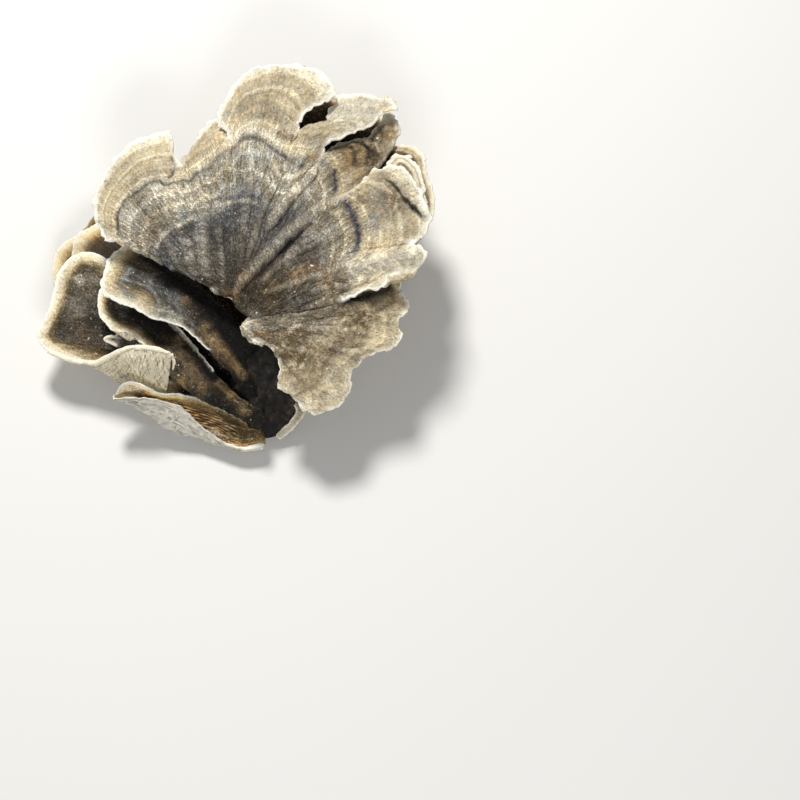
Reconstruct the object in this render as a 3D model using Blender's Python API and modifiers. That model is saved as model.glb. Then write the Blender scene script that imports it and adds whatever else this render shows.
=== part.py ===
"""Turkey tail fungus, a dried cluster of thin bracket caps on one corky stump.

The cluster lies as it grew: the stump is cut off flat and stands on z = 0, the great
cap spreads over it, and smaller caps leave it one above another, most of them towards
-X. Each cap is a thin leaf: an open surface blended between its neck, its two sides
and its margin, and given its thickness by Solidify. The caps are cut clear of the
stump, and the stump is cut clear of the great cap that lies over it.

All measures below are in millimetres, and a point is (x, y, height). Sides are listed
from the neck outwards, and the margin runs from the first side to the second.
"""

import bmesh
import bpy
import numpy as np

MM = 0.001
OBJECT_NAME = "turkey_tail_fungus"

# The middle of the cluster's plan, which becomes the origin.
MIDDLE_X = 0.7
MIDDLE_Y = -2.5

# Driving dimensions.
GREAT_CAP_THICKNESS = 2.0
CAP_THICKNESS = 1.4
STRIP_THICKNESS = 1.0
CLEARANCE = 0.3
MERGE_DISTANCE = 0.001

# Rows of faces from the neck outwards, over a rolled margin, and across a trough.
GREAT_CAP_ROWS = 10
CAP_ROWS = 6
ROLL_ROWS = 5
TROUGH_ROWS = 9

# How far up a rolled margin stands before it leans over, as a share of its height.
ROLL_RISE = 0.6

# The stump by height: height, middle x, middle y, half width along x and along y.
STUMP_LEVELS = [
    (-8, 7.5, -31, 11, 14),
    (5, 7.5, -31, 10.5, 13.5),
    (9, 8, -30, 9.5, 12),
    (13, 9.5, -28, 8, 9.5),
    (17, 11, -24.5, 6.5, 7),
    (22, 12.5, -21.5, 5, 5.5),
]
STUMP_SIDES = 20
STUMP_RINGS = 14
STUMP_FULLNESS = 0.3

# The great cap. Neighbouring lobes share a seam up to a tear and part beyond it.
GREAT_CAP = {
    "neck": [(0.5, -16, 23), (3, -18.5, 22.5), (5.5, -20.5, 22), (4.5, -21, 21.5), (2.5, -22.5, 21)],
    "left_side": [(-4, -14, 24), (-7.5, -12, 25), (-15, -9, 26), (-25, -4, 27), (-31, -1.5, 27)],
    "front_side": [
        (3, -24, 21), (4.5, -25.5, 21), (7, -26.5, 21), (9, -27, 20.5), (11, -29, 20), (12.5, -33, 19),
        (12, -37, 18.5), (14.5, -39, 18), (18.5, -43, 17.5),
    ],
}
GREAT_TEARS = [
    {
        "start": 0.80,
        "seam": [(-2, -3.5, 24.5), (-8.5, 8, 26), (-13.5, 18.5, 27)],
        "before": [(-14.5, 22.5, 27.5), (-16, 27.5, 28)],
        "after": [(-11.5, 21, 26), (-10.5, 23.5, 26)],
    },
    {
        "start": 0.80,
        "seam": [(1.5, 1.5, 25.5), (0.5, 15, 26.5), (0, 25, 27)],
        "before": [(-0.5, 27.5, 26), (-1.5, 31, 25.5)],
        "after": [(-2, 27.5, 28), (-3.5, 29.5, 28.5), (-4, 31.5, 29)],
    },
    {
        "start": 0.70,
        "seam": [(8, -1.5, 26), (12, 14.5, 27), (16.5, 28, 27.5)],
        "before": [(17, 29.5, 29), (18.5, 32, 29.5), (22, 34, 30), (26.5, 36, 31)],
        "after": [(19.5, 29, 27), (22.5, 29.5, 27), (25, 33.5, 27), (26.5, 37, 28)],
    },
    {
        "start": 0.60,
        "seam": [(11, -4, 25.5), (17.5, 10.5, 26.5), (22.5, 21.5, 27)],
        "before": [
            (25, 24.5, 29), (28.5, 25.5, 29.5), (31.5, 27, 29.5), (35, 28, 30), (38, 31, 30.5), (41.5, 33, 31),
        ],
        "after": [(25, 24, 26), (30, 25.5, 26.5), (34, 26, 26.5), (37, 30, 26.5), (39, 33.5, 27)],
    },
    {
        "start": 0.70,
        "seam": [(11, -10, 24), (17, -2, 25.5), (22.5, 5, 27), (27.5, 9, 27.5)],
        "before": [(30.5, 11.5, 27), (34.5, 15.5, 26), (38, 20.5, 26), (40, 24, 26)],
        "after": [(28.5, 9.5, 29), (31.5, 11.5, 29.5), (34.5, 14.5, 30), (36, 15.5, 31)],
    },
    {
        "start": 0.60,
        "seam": [(14, -19.5, 23), (22.5, -18, 24.5), (28.5, -17, 26)],
        "before": [(31, -16.5, 27), (34.5, -15.5, 28.5), (37.5, -15.5, 29), (39.5, -12.5, 29)],
        "after": [(31.5, -15, 25), (35.5, -11.5, 24.5), (39.5, -10.5, 25)],
    },
]

# The great cap's lobes: stretch of the neck, number of columns, and margin between the two sides.
GREAT_LOBES = [
    (0.00, 0.16, 9, [(-33.5, 2.5, 27), (-34.5, 7.5, 27.5), (-33.5, 12.5, 28), (-30, 19, 28), (-27, 23, 28),
                     (-21.5, 26, 28)]),
    (0.16, 0.26, 4, [(-10, 25, 26), (-8.5, 27.5, 26), (-5.5, 31, 26), (-4, 32, 26)]),
    (0.26, 0.40, 9, [(-2.5, 34.5, 29.5), (0, 39, 30), (3.5, 42.5, 30.5), (9, 44.5, 31), (15, 45, 31),
                     (21, 43.5, 31), (25, 39.5, 31)]),
    (0.40, 0.46, 5, [(29, 37, 29), (32.5, 37, 30), (36.5, 36, 30.5), (40, 35, 31)]),
    (0.46, 0.52, 4, [(41, 32, 27), (42.5, 29, 27), (42, 26, 26.5)]),
    (0.52, 0.66, 11, [(37.5, 16, 32), (41, 16, 33), (44.5, 14, 33), (47.5, 9.5, 33), (49.5, 4.5, 33), (50, 0.5, 33),
                      (48, -3, 32), (45, -4.5, 31.5), (47.5, -5, 31.5), (49, -7.5, 31), (47, -10.5, 30),
                      (43, -11, 29.5)]),
    (0.66, 1.00, 12, [(42.5, -12, 25), (43, -15, 25), (45, -18, 24), (43, -21, 24), (42.5, -26, 23), (40.5, -29, 23),
                      (36.5, -30, 22.5), (33, -32, 22), (30.5, -36, 21), (30, -39, 20), (28, -42, 18.5),
                      (24.5, -43.5, 18), (21.5, -44.5, 17.5)]),
]

# The flat and gently dished smaller caps.
SMALL_CAPS = {
    "under_cap": {
        "neck": [(9, -20, 18), (12, -19.5, 18), (14.5, -22.5, 18)],
        "before": [(2, 4, 19.5), (1, 23, 20.5)],
        "margin": [
            (2.5, 36, 21.5), (7, 42, 22), (14, 44, 22.3), (22, 42, 22.6), (29.5, 38, 23.2), (37, 34.5, 24),
            (39.5, 29.5, 23.5), (40.5, 26, 23.5), (44.5, 24.5, 26.5), (47.5, 22.5, 27.3), (49.5, 15.5, 27.5),
            (51, 9.5, 27.2), (50.5, 5.5, 26.5),
        ],
        "after": [(17.5, -17.5, 19.5), (30, -11, 22), (45, -2.5, 25)],
        "columns": 20,
    },
    "upper_tongue_cap": {
        "neck": [(6, -24.5, 13), (8, -29, 12), (9, -34.5, 10.5), (8.5, -38.5, 10)],
        "before": [(-4, -14.5, 18), (-17, -4, 20.5), (-24.5, -1, 21)],
        "margin": [(-27.5, -1.5, 21.5), (-30.5, -4, 21.5), (-32, -8, 21.5), (-32.5, -11.5, 21.5)],
        "after": [
            (5.5, -37, 13), (2.5, -35.5, 14.5), (-0.5, -32.5, 16), (-4.5, -29, 17.5), (-8, -25.5, 19),
            (-12, -22.5, 20), (-16, -21, 20.5), (-20.5, -20, 21), (-24, -18, 21.5), (-29, -16, 21.5),
            (-31.5, -14.5, 21.5),
        ],
        "columns": 12,
    },
    "lower_tongue_cap": {
        "neck": [(7, -41.5, 10.5), (7.5, -43, 10.3), (7, -44.5, 10)],
        "before": [(2, -38.5, 12), (-2.5, -34, 12.8), (-7, -28.5, 14), (-11.5, -23, 14.5), (-18, -16.5, 15.3),
                   (-26, -11.5, 16)],
        "margin": [(-31, -9.5, 16.5), (-33.5, -11.5, 16.5), (-34, -15, 16.5), (-32.5, -19, 16.3), (-30, -21.5, 16)],
        "after": [(-0.5, -41.5, 9.8), (-8, -38, 10.3), (-15, -32, 11.5), (-22, -25.5, 13.5), (-25, -23, 15)],
        "columns": 9,
    },
    "upper_back_cap": {
        "neck": [(0.5, -27.5, 5.5), (1.5, -30, 5.5), (3, -33, 5.5)],
        "before": [(-19.5, 8, 9)],
        "margin": [(-27, 10, 9.8), (-35, 10, 9.8), (-38, 8.5, 9.5), (-41, 6, 9), (-42, 1.5, 8.5)],
        "after": [(-38.5, -5, 8)],
        "columns": 9,
    },
    "lower_back_cap": {
        "neck": [(1, -30.5, 3.4), (1.5, -33, 3.4), (2.5, -35, 3.4)],
        "before": [(-32.5, 5.5, 6)],
        "margin": [(-38, 7.5, 6.3), (-43.5, 6.5, 6.3), (-46, 4, 6), (-47, 0.5, 5.7), (-47, -4.5, 5.3)],
        "after": [(-42.5, -12, 4.6)],
        "columns": 9,
    },
    "bottom_cap": {
        "neck": [(14, -24, 1.8), (9, -20, 1.8), (3, -21, 1.8), (0, -28, 1.8)],
        "before": [(24.5, -5.5, 1.5), (34.5, 8.5, 1.6)],
        "margin": [
            (35, 18.5, 0.75), (29.5, 25, 1.8), (19, 29.5, 1.5), (8, 31.5, 0.75), (-1, 31.5, 1.6), (-10, 31, 1.8),
            (-19.5, 27, 1), (-28.5, 25, 0.8), (-34, 21, 1.2), (-38.5, 13.5, 1.4), (-42, 8.5, 0.8), (-42.5, 2.5, 0.8),
            (-38.5, -8, 1.2),
        ],
        "after": [(-29.5, -20.5, 1.4)],
        "columns": 24,
    },
    "torn_strip": {
        "neck": [(13.5, -38, 7), (15, -36.5, 7)],
        "before": [(16.5, -40, 6.5), (15.5, -42.5, 5.5), (12.5, -44, 4), (11, -45.5, 2.5)],
        "margin": [],
        "after": [(18.5, -40, 6.2), (18, -43, 5), (15, -45, 3.5), (12, -46, 2.3)],
        "columns": 2,
    },
}

# The cap whose front margin is rolled up and back over it: the leaf ends at the fold, and each
# point of the rim stands over the fold's point of the same number.
ROLLED_CAP = {
    "neck": [(6.5, -34, 7.5), (7.5, -37, 7.5), (7.5, -40, 7.5)],
    "before": [(-21.5, -6.5, 12)],
    "fold": [
        (-31.5, -4, 13.7), (-35.5, -3, 13.7), (-38.5, -3.5, 13.2), (-41.5, -7, 12.6), (-43, -12.5, 12.1),
        (-45, -17.5, 11.6), (-46.5, -21, 11.3), (-45.5, -23.3, 11), (-42.5, -25.3, 10.6), (-37.5, -27.5, 9.5),
        (-33.5, -29.5, 8.3), (-29, -32, 7), (-24, -34.3, 6.2), (-20.5, -35.2, 5.8), (-16.5, -35.7, 5.6),
    ],
    "rim": [
        (-32.5, -1.5, 14), (-36.5, 0, 14), (-40.5, -0.5, 13.5), (-44.5, -5, 13), (-46, -12, 12.5),
        (-48, -17.5, 12), (-49.5, -22, 12), (-47.5, -25, 11.5), (-43, -27, 11.2), (-37, -28.5, 11),
        (-33, -28.5, 12.5), (-28.5, -27.5, 16), (-24, -27, 18.5), (-19.5, -27.5, 19), (-14.5, -29, 18.5),
    ],
    "after": [(0, -37.3, 7.3), (-8, -35.8, 7)],
    "columns": 24,
}

# The narrow cap rolled into a trough. Each line runs from its tip to the stump: the far rim,
# the trough's bottom, the outer fold and the near rim.
TROUGH_CAP = {
    "far_rim": [
        (-29, -37.5, 13), (-26.5, -35.5, 15.5), (-23.5, -35.5, 15.5), (-20.5, -36.5, 14.5), (-17.5, -37, 11.5),
        (-13.5, -36.5, 9.5), (-9.5, -37, 8.5), (-5.5, -38, 7.6), (-1.5, -40, 6.5), (2.5, -41.5, 5.8),
        (6.5, -43, 5),
    ],
    "bottom": [
        (-29.5, -37.7, 11.6), (-27, -36.7, 10), (-24, -36.9, 9), (-21, -38.2, 8), (-17.5, -39.5, 6.8),
        (-14, -40.2, 5.8), (-10.5, -40.8, 5), (-7, -41.8, 4.5), (-2.5, -43.6, 4.2), (2.5, -45.2, 4),
        (7, -45.2, 4),
    ],
    "outer_fold": [
        (-29.5, -38.6, 11.6), (-26.5, -38.8, 10.5), (-23.5, -39.5, 9), (-21, -41, 6.8), (-17.5, -43, 5),
        (-14, -44.5, 4.3), (-10.5, -45.5, 3.9), (-7, -46.5, 3.7), (-3, -48, 3.6), (2, -49.3, 3.5),
        (7.5, -48, 3.6),
    ],
    "near_rim": [
        (-29, -38.8, 12.8), (-26.5, -38.7, 13), (-23.5, -38.7, 13), (-20, -38.8, 12.6), (-16.5, -39.2, 11),
        (-13, -39.8, 9.8), (-10.5, -41.7, 8), (-7.5, -44, 6), (-3.5, -47, 5), (2.5, -49.5, 4.5),
        (7.5, -48.5, 4.3),
    ],
    "columns": 22,
}

# The small shelf hangs close under the great cap's right lobe, clear of it and of the stump.
RIGHT_SHELF = {
    "neck": [(31.5, 6, 26), (31.5, 3, 26), (31.5, -1, 25.8)],
    "before": [(35.5, 12, 27)],
    "margin": [(38.5, 17, 28.4), (40, 19, 29), (42, 20.5, 29.6), (45, 19.5, 30.2), (47, 17, 30.4),
               (48.5, 12.5, 30.4), (49, 7.5, 30), (48.5, 2, 29.2)],
    "after": [(41.5, -2.5, 27.2)],
    "columns": 12,
}

# Finishes: linear RGB and roughness.
FINISHES = {
    "stump": ((0.10, 0.06, 0.03), 0.95),
    "great_cap": ((0.22, 0.19, 0.15), 0.90),
    "under_cap": ((0.13, 0.10, 0.07), 0.90),
    "right_shelf": ((0.45, 0.40, 0.30), 0.85),
    "upper_tongue_cap": ((0.14, 0.12, 0.10), 0.90),
    "lower_tongue_cap": ((0.10, 0.08, 0.06), 0.90),
    "rolled_cap": ((0.09, 0.08, 0.06), 0.90),
    "narrow_rolled_cap": ((0.38, 0.28, 0.16), 0.85),
    "upper_back_cap": ((0.28, 0.20, 0.12), 0.90),
    "lower_back_cap": ((0.26, 0.19, 0.12), 0.90),
    "bottom_cap": ((0.10, 0.07, 0.04), 0.90),
    "torn_strip": ((0.50, 0.42, 0.30), 0.85),
}


def clear_scene():
    for obj in list(bpy.data.objects):
        bpy.data.objects.remove(obj, do_unlink=True)


def new_collection(name):
    collection = bpy.data.collections.new(name)
    bpy.context.scene.collection.children.link(collection)
    return collection


def finish(name):
    colour, roughness = FINISHES[name]
    material = bpy.data.materials.new(name + "_finish")
    material.use_nodes = True
    shader = material.node_tree.nodes["Principled BSDF"]
    shader.inputs["Base Color"].default_value = (*colour, 1.0)
    shader.inputs["Roughness"].default_value = roughness
    shader.inputs["Metallic"].default_value = 0.0
    return material


def smooth_curve(points, where, knots=None):
    """Points on a cubic curve through `points`, at the fractions `where` of its length.

    `knots` are the places of the points along it; by default they follow the chord lengths.
    """
    points = np.array(points, dtype=float)
    if knots is None:
        chords = np.linalg.norm(np.diff(points, axis=0), axis=1)
        knots = np.concatenate([[0.0], np.cumsum(chords)])
    slopes = np.gradient(points, knots, axis=0)
    places = np.clip(where, 0.0, 1.0) * knots[-1]
    span = np.clip(np.searchsorted(knots, places, side="right") - 1, 0, len(points) - 2)
    width = np.diff(knots)[span][:, None]
    f = (places - knots[span])[:, None] / width
    leave, arrive = slopes[span] * width, slopes[span + 1] * width
    return (
        points[span] * (2 * f**3 - 3 * f**2 + 1)
        + leave * (f**3 - 2 * f**2 + f)
        + points[span + 1] * (3 * f**2 - 2 * f**3)
        + arrive * (f**3 - f**2)
    )


def torn_side(root, seam, start, branch, rows):
    """A lobe's side: the shared seam up to `start`, then its own torn edge out to the margin."""
    inner = smooth_curve([root] + seam, rows / start)
    outer = smooth_curve([seam[-1]] + branch, (rows - start) / (1 - start))
    return np.where(rows[:, None] <= start, inner, outer)


def blended_leaf(neck, margin, before, after, across, outwards):
    """Coons patch: the four edge curves blended over `across` (columns) and `outwards` (rows)."""
    s = across[None, :, None]
    t = outwards[:, None, None]
    ruled = (1 - t) * neck[None] + t * margin[None] + (1 - s) * before[:, None] + s * after[:, None]
    corners = (
        (1 - t) * ((1 - s) * neck[0] + s * neck[-1]) + t * ((1 - s) * margin[0] + s * margin[-1])
    )
    return ruled - corners


def evenly(count):
    return np.linspace(0.0, 1.0, count + 1)


def small_cap_surface(cap):
    across, outwards = evenly(cap["columns"]), evenly(CAP_ROWS)
    before = [cap["neck"][0]] + cap["before"]
    after = [cap["neck"][-1]] + cap["after"]
    margin = [before[-1]] + cap["margin"] + [after[-1]]
    return blended_leaf(
        smooth_curve(cap["neck"], across),
        smooth_curve(margin, across),
        smooth_curve(before, outwards),
        smooth_curve(after, outwards),
        across,
        outwards,
    )


def rolled_cap_surface(cap):
    """A leaf out to its fold, then rows that stand up from the fold and lean back to the rim."""
    across, outwards = evenly(cap["columns"]), evenly(CAP_ROWS)
    places = np.arange(len(cap["fold"]), dtype=float)
    fold = smooth_curve(cap["fold"], across, places)
    rim = smooth_curve(cap["rim"], across, places)
    leaf = blended_leaf(
        smooth_curve(cap["neck"], across),
        fold,
        smooth_curve([cap["neck"][0]] + cap["before"] + [cap["fold"][0]], outwards),
        smooth_curve([cap["neck"][-1]] + cap["after"] + [cap["fold"][-1]], outwards),
        across,
        outwards,
    )
    pull = (fold + rim) / 2
    height = rim[:, 2] - fold[:, 2]
    rolled = np.clip(height / height.max(), 0.0, 1.0)[:, None]
    above_fold = fold + np.stack([np.zeros_like(height), np.zeros_like(height), ROLL_RISE * height], axis=1)
    pull = pull * (1 - rolled) + above_fold * rolled
    t = evenly(ROLL_ROWS)[1:, None, None]
    return np.concatenate([leaf, (1 - t) ** 2 * fold + 2 * t * (1 - t) * pull + t**2 * rim])


def trough_surface(cap):
    """Columns run from the tip to the stump, and rows from the far rim round to the near rim."""
    across, around = evenly(cap["columns"]), evenly(TROUGH_ROWS)
    lines = [cap[name] for name in ("far_rim", "bottom", "outer_fold", "near_rim")]
    places = np.arange(len(lines[0]), dtype=float)
    guides = np.stack([smooth_curve(line, across, places) for line in lines])
    sections = [smooth_curve(guides[:, column], around) for column in range(len(across))]
    return np.stack(sections, axis=1)


def great_cap_surfaces():
    """One surface for each lobe. Neighbours agree along their seam, where the grids are merged."""
    outwards = evenly(GREAT_CAP_ROWS)
    neck = GREAT_CAP["neck"]
    surfaces = []
    for number, (first, last, columns, margin) in enumerate(GREAT_LOBES):
        across = evenly(columns)
        roots = smooth_curve(neck, first + (last - first) * across)
        if number == 0:
            first_corner = GREAT_CAP["left_side"][-1]
            before = smooth_curve([neck[0]] + GREAT_CAP["left_side"], outwards)
        else:
            tear = GREAT_TEARS[number - 1]
            first_corner = tear["after"][-1]
            before = torn_side(tuple(roots[0]), tear["seam"], tear["start"], tear["after"], outwards)
        if number == len(GREAT_LOBES) - 1:
            last_corner = GREAT_CAP["front_side"][-1]
            after = smooth_curve([neck[-1]] + GREAT_CAP["front_side"], outwards)
        else:
            tear = GREAT_TEARS[number]
            last_corner = tear["before"][-1]
            after = torn_side(tuple(roots[-1]), tear["seam"], tear["start"], tear["before"], outwards)
        edge = smooth_curve([first_corner] + margin + [last_corner], across)
        surfaces.append(blended_leaf(roots, edge, before, after, across, outwards))
    return surfaces


def lay_grid(bm, surface):
    """A grid of faces whose corners are the points of `surface`, moved to the origin's frame."""
    rows, columns = surface.shape[0] - 1, surface.shape[1] - 1
    made = bmesh.ops.create_grid(bm, x_segments=columns, y_segments=rows, size=1.0)
    for corner in made["verts"]:
        column = round((corner.co.x + 1.0) / 2.0 * columns)
        row = round((corner.co.y + 1.0) / 2.0 * rows)
        x, y, z = surface[row, column]
        corner.co = ((x - MIDDLE_X) * MM, (y - MIDDLE_Y) * MM, z * MM)


def mesh_object(name, bm, collection):
    bmesh.ops.recalc_face_normals(bm, faces=bm.faces)
    mesh = bpy.data.meshes.new(name)
    bm.to_mesh(mesh)
    bm.free()
    mesh.shade_smooth()
    obj = bpy.data.objects.new(name, mesh)
    collection.objects.link(obj)
    return obj


def leaf_object(name, surfaces, thickness, collection):
    bm = bmesh.new()
    for surface in surfaces:
        lay_grid(bm, surface)
    bmesh.ops.remove_doubles(bm, verts=bm.verts, dist=MERGE_DISTANCE * MM)
    obj = mesh_object(name, bm, collection)
    solidify = obj.modifiers.new("Thickness", "SOLIDIFY")
    solidify.thickness = thickness * MM
    solidify.offset = 0.0
    return obj


def stump_object(name, extra, collection):
    """A leaning lump whose plan follows STUMP_LEVELS and is wider by `extra`.

    The stump itself is cut off flat at z = 0; the wider one, used to clear the caps, isn't.
    """
    heights, middles_x, middles_y, halves_x, halves_y = np.array(STUMP_LEVELS, dtype=float).T
    bm = bmesh.new()
    bmesh.ops.create_uvsphere(bm, u_segments=STUMP_SIDES, v_segments=STUMP_RINGS, radius=1.0)
    for corner in bm.verts:
        level = min(max(corner.co.z, -1.0), 1.0)
        height = heights[0] + (heights[-1] - heights[0]) * (level + 1.0) / 2.0
        flat = max((corner.co.x**2 + corner.co.y**2) ** 0.5, 1e-9)
        spread = (1.0 - level**2) ** STUMP_FULLNESS
        half_x = np.interp(height, heights, halves_x) * spread + extra
        half_y = np.interp(height, heights, halves_y) * spread + extra
        x = np.interp(height, heights, middles_x) + half_x * corner.co.x / flat
        y = np.interp(height, heights, middles_y) + half_y * corner.co.y / flat
        corner.co = ((x - MIDDLE_X) * MM, (y - MIDDLE_Y) * MM, (height + extra * level) * MM)
    if extra == 0.0:
        cut = bmesh.ops.bisect_plane(
            bm,
            geom=bm.verts[:] + bm.edges[:] + bm.faces[:],
            plane_co=(0, 0, 0),
            plane_no=(0, 0, 1),
            clear_inner=True,
        )
        rim = [item for item in cut["geom_cut"] if isinstance(item, bmesh.types.BMEdge)]
        bmesh.ops.holes_fill(bm, edges=rim)
    return mesh_object(name, bm, collection)


def as_cutter(obj):
    obj.hide_render = True
    obj.display_type = "WIRE"
    return obj


def cut_clear(obj, cutter):
    boolean = obj.modifiers.new("Clear of " + cutter.name, "BOOLEAN")
    boolean.operation = "DIFFERENCE"
    boolean.solver = "EXACT"
    boolean.object = cutter


def build():
    clear_scene()
    pieces = new_collection(OBJECT_NAME)
    cutters = new_collection("cutters")
    stump = stump_object("stump", 0.0, pieces)
    stump_room = as_cutter(stump_object("stump_room", CLEARANCE, cutters))
    great_surfaces = great_cap_surfaces()
    great_room_thickness = GREAT_CAP_THICKNESS + 2 * CLEARANCE
    great_cap = leaf_object("great_cap", great_surfaces, GREAT_CAP_THICKNESS, pieces)
    great_room = as_cutter(leaf_object("great_cap_room", great_surfaces, great_room_thickness, cutters))
    cut_clear(stump, great_room)
    surfaces = {name: small_cap_surface(cap) for name, cap in SMALL_CAPS.items()}
    surfaces["rolled_cap"] = rolled_cap_surface(ROLLED_CAP)
    surfaces["narrow_rolled_cap"] = trough_surface(TROUGH_CAP)
    made = [stump, great_cap]
    for name, surface in surfaces.items():
        thickness = STRIP_THICKNESS if name == "torn_strip" else CAP_THICKNESS
        cap = leaf_object(name, [surface], thickness, pieces)
        cut_clear(cap, stump_room)
        made.append(cap)
    made.append(leaf_object("right_shelf", [small_cap_surface(RIGHT_SHELF)], CAP_THICKNESS, pieces))
    for obj in made:
        obj.data.materials.append(finish(obj.name))


build()
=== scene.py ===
# %% [markdown]
# # A dried turkey tail cluster
#
# A turkey tail is a bracket fungus: many thin leathery caps that leave one corky stump. This
# lesson builds one dried cluster as sheets worked out with numpy, and gives each a skin of
# procedural nodes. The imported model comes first: it is the fixed frame that every piece fits,
# and its box is the size that the finished object may fill.

# %% The frame
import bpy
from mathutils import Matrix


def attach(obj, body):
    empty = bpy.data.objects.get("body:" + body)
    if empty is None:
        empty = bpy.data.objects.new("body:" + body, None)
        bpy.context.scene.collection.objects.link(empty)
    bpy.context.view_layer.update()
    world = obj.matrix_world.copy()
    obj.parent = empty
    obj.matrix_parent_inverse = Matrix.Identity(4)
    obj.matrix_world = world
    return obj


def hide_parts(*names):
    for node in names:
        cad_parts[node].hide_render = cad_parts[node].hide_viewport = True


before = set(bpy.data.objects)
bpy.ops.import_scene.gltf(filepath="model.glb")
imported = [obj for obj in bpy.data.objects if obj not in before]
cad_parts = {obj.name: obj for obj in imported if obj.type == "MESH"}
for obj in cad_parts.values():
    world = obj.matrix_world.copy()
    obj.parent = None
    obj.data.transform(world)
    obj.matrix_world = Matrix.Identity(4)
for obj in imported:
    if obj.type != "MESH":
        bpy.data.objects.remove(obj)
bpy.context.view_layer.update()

from types import SimpleNamespace

import bmesh
import bpy
import numpy as np
from mathutils import Vector

MM = 0.001
MIDDLE = np.array([0.7, -2.5, 0.0])  # of the plan that the caps are drawn on, in millimetres


print("nodes", sorted(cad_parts))

# %% [markdown]
# ## Curves and leaves
#
# A cap grows outwards from a short neck until its margin, so it is drawn by four edge curves:
# the neck, two sides and the margin. A spline surface modelled by hand would do as well, but a
# blend of the four curves keeps a useful second product: the share of the way from the neck to
# the margin, which is what the coloured zones of the real cap follow.

# %% Smooth curves and the blend between four of them
TINY = 1e-12  # keeps a division by no length safe


def unit(vectors):
    return vectors / np.maximum(np.linalg.norm(vectors, axis=-1), TINY)[..., None]


def evenly(count):
    return np.linspace(0.0, 1.0, count + 1)


def smooth_curve(points, where, knots=None):
    """Points on a cubic curve through `points`, at the fractions `where` of its length.

    Between two knots the curve is the cubic that leaves and arrives with the slopes
    found from the neighbouring points.
    """
    points = np.array(points, dtype=float)
    if knots is None:
        chords = np.linalg.norm(np.diff(points, axis=0), axis=1)
        knots = np.concatenate([[0.0], np.cumsum(chords)])
    slopes = np.gradient(points, knots, axis=0)
    places = np.clip(where, 0.0, 1.0) * knots[-1]
    span = np.clip(np.searchsorted(knots, places, side="right") - 1, 0, len(points) - 2)
    width = np.diff(knots)[span][:, None]
    f = (places - knots[span])[:, None] / width
    leave, arrive = slopes[span] * width, slopes[span + 1] * width
    return (
        points[span] * (2 * f**3 - 3 * f**2 + 1)
        + leave * (f**3 - 2 * f**2 + f)
        + points[span + 1] * (3 * f**2 - 2 * f**3)
        + arrive * (f**3 - f**2)
    )


def blended_leaf(neck, margin, before, after):
    """A Coons patch: the blend of neck and margin, plus the blend of the two sides, less the
    blend of the four corners. Rows run from the neck outwards, columns from side to side."""
    s = evenly(len(neck) - 1)[None, :, None]
    t = evenly(len(before) - 1)[:, None, None]
    ruled = (1 - t) * neck[None] + t * margin[None] + (1 - s) * before[:, None] + s * after[:, None]
    corners = (1 - t) * ((1 - s) * neck[0] + s * neck[-1]) + t * ((1 - s) * margin[0] + s * margin[-1])
    return ruled - corners


def leaf_patch(cap, rows, columns):
    """One cap's leaf from its neck, its two sides and its margin."""
    before = [cap["neck"][0]] + cap["before"]
    after = [cap["neck"][-1]] + cap["after"]
    across, outwards = evenly(columns), evenly(rows)
    return blended_leaf(
        smooth_curve(cap["neck"], across),
        smooth_curve([before[-1]] + cap["margin"] + [after[-1]], across),
        smooth_curve(before, outwards),
        smooth_curve(after, outwards),
    )


# %% [markdown]
# ## Noise and marks
#
# Nothing on a dried fungus is even, so the shapes need noise: smooth random values over space,
# worked out for all points at once. Folds, cracks and stains lie where they do on the real
# cap, so they are drawn as short paths on the plan. The distance to a path then gives a
# ridge, a groove or a stain.

# %% Noise over space
CELL_MIXERS = np.array([374761393, 668265263, 1440662683])  # large and odd, so neighbours differ
SEED_MIXER = 974634777
SCRAMBLES = ((13, 1274126177), (16, 2246822519))  # each a shift and a factor
LAST_SHIFT = 15
LOW_BITS = 0xFFFFFFFF


def lattice_values(cells, seed):
    """A value from -1 to 1 for each whole-numbered cell, mixed from its three numbers."""
    mixed = (cells.astype(np.int64) @ CELL_MIXERS + seed * SEED_MIXER) & LOW_BITS
    for shift, factor in SCRAMBLES:
        mixed = ((mixed ^ (mixed >> shift)) * factor) & LOW_BITS
    return (mixed ^ (mixed >> LAST_SHIFT)) / (LOW_BITS // 2) - 1.0


def noise(points, size, seed):
    """Smooth random values from -1 to 1: each cell of width `size` blends the values at its
    eight corners, with weights that ease in and out."""
    places = points / size
    cells = np.floor(places)
    f = places - cells
    f = f * f * (3 - 2 * f)
    total = np.zeros(len(points))
    for corner in np.ndindex(2, 2, 2):
        weight = np.prod(np.where(corner, f, 1 - f), axis=1)
        total += weight * lattice_values(cells + corner, seed)
    return total


def rough_noise(points, size, seed, layers=3):
    """Layers of noise, each half the size and half the strength of the one before."""
    return sum(noise(points, size / 2**k, seed + k) / 2**k for k in range(layers))


def ease(values, low, high):
    """0 below `low`, 1 above `high`, with a smooth rise between them."""
    f = np.clip((values - low) / (high - low), 0.0, 1.0)
    return f * f * (3 - 2 * f)


# %% Distance to a path on the plan
PATH_POINTS = 40
FADED = 3.0  # widths from a path at which its mark is gone


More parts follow.
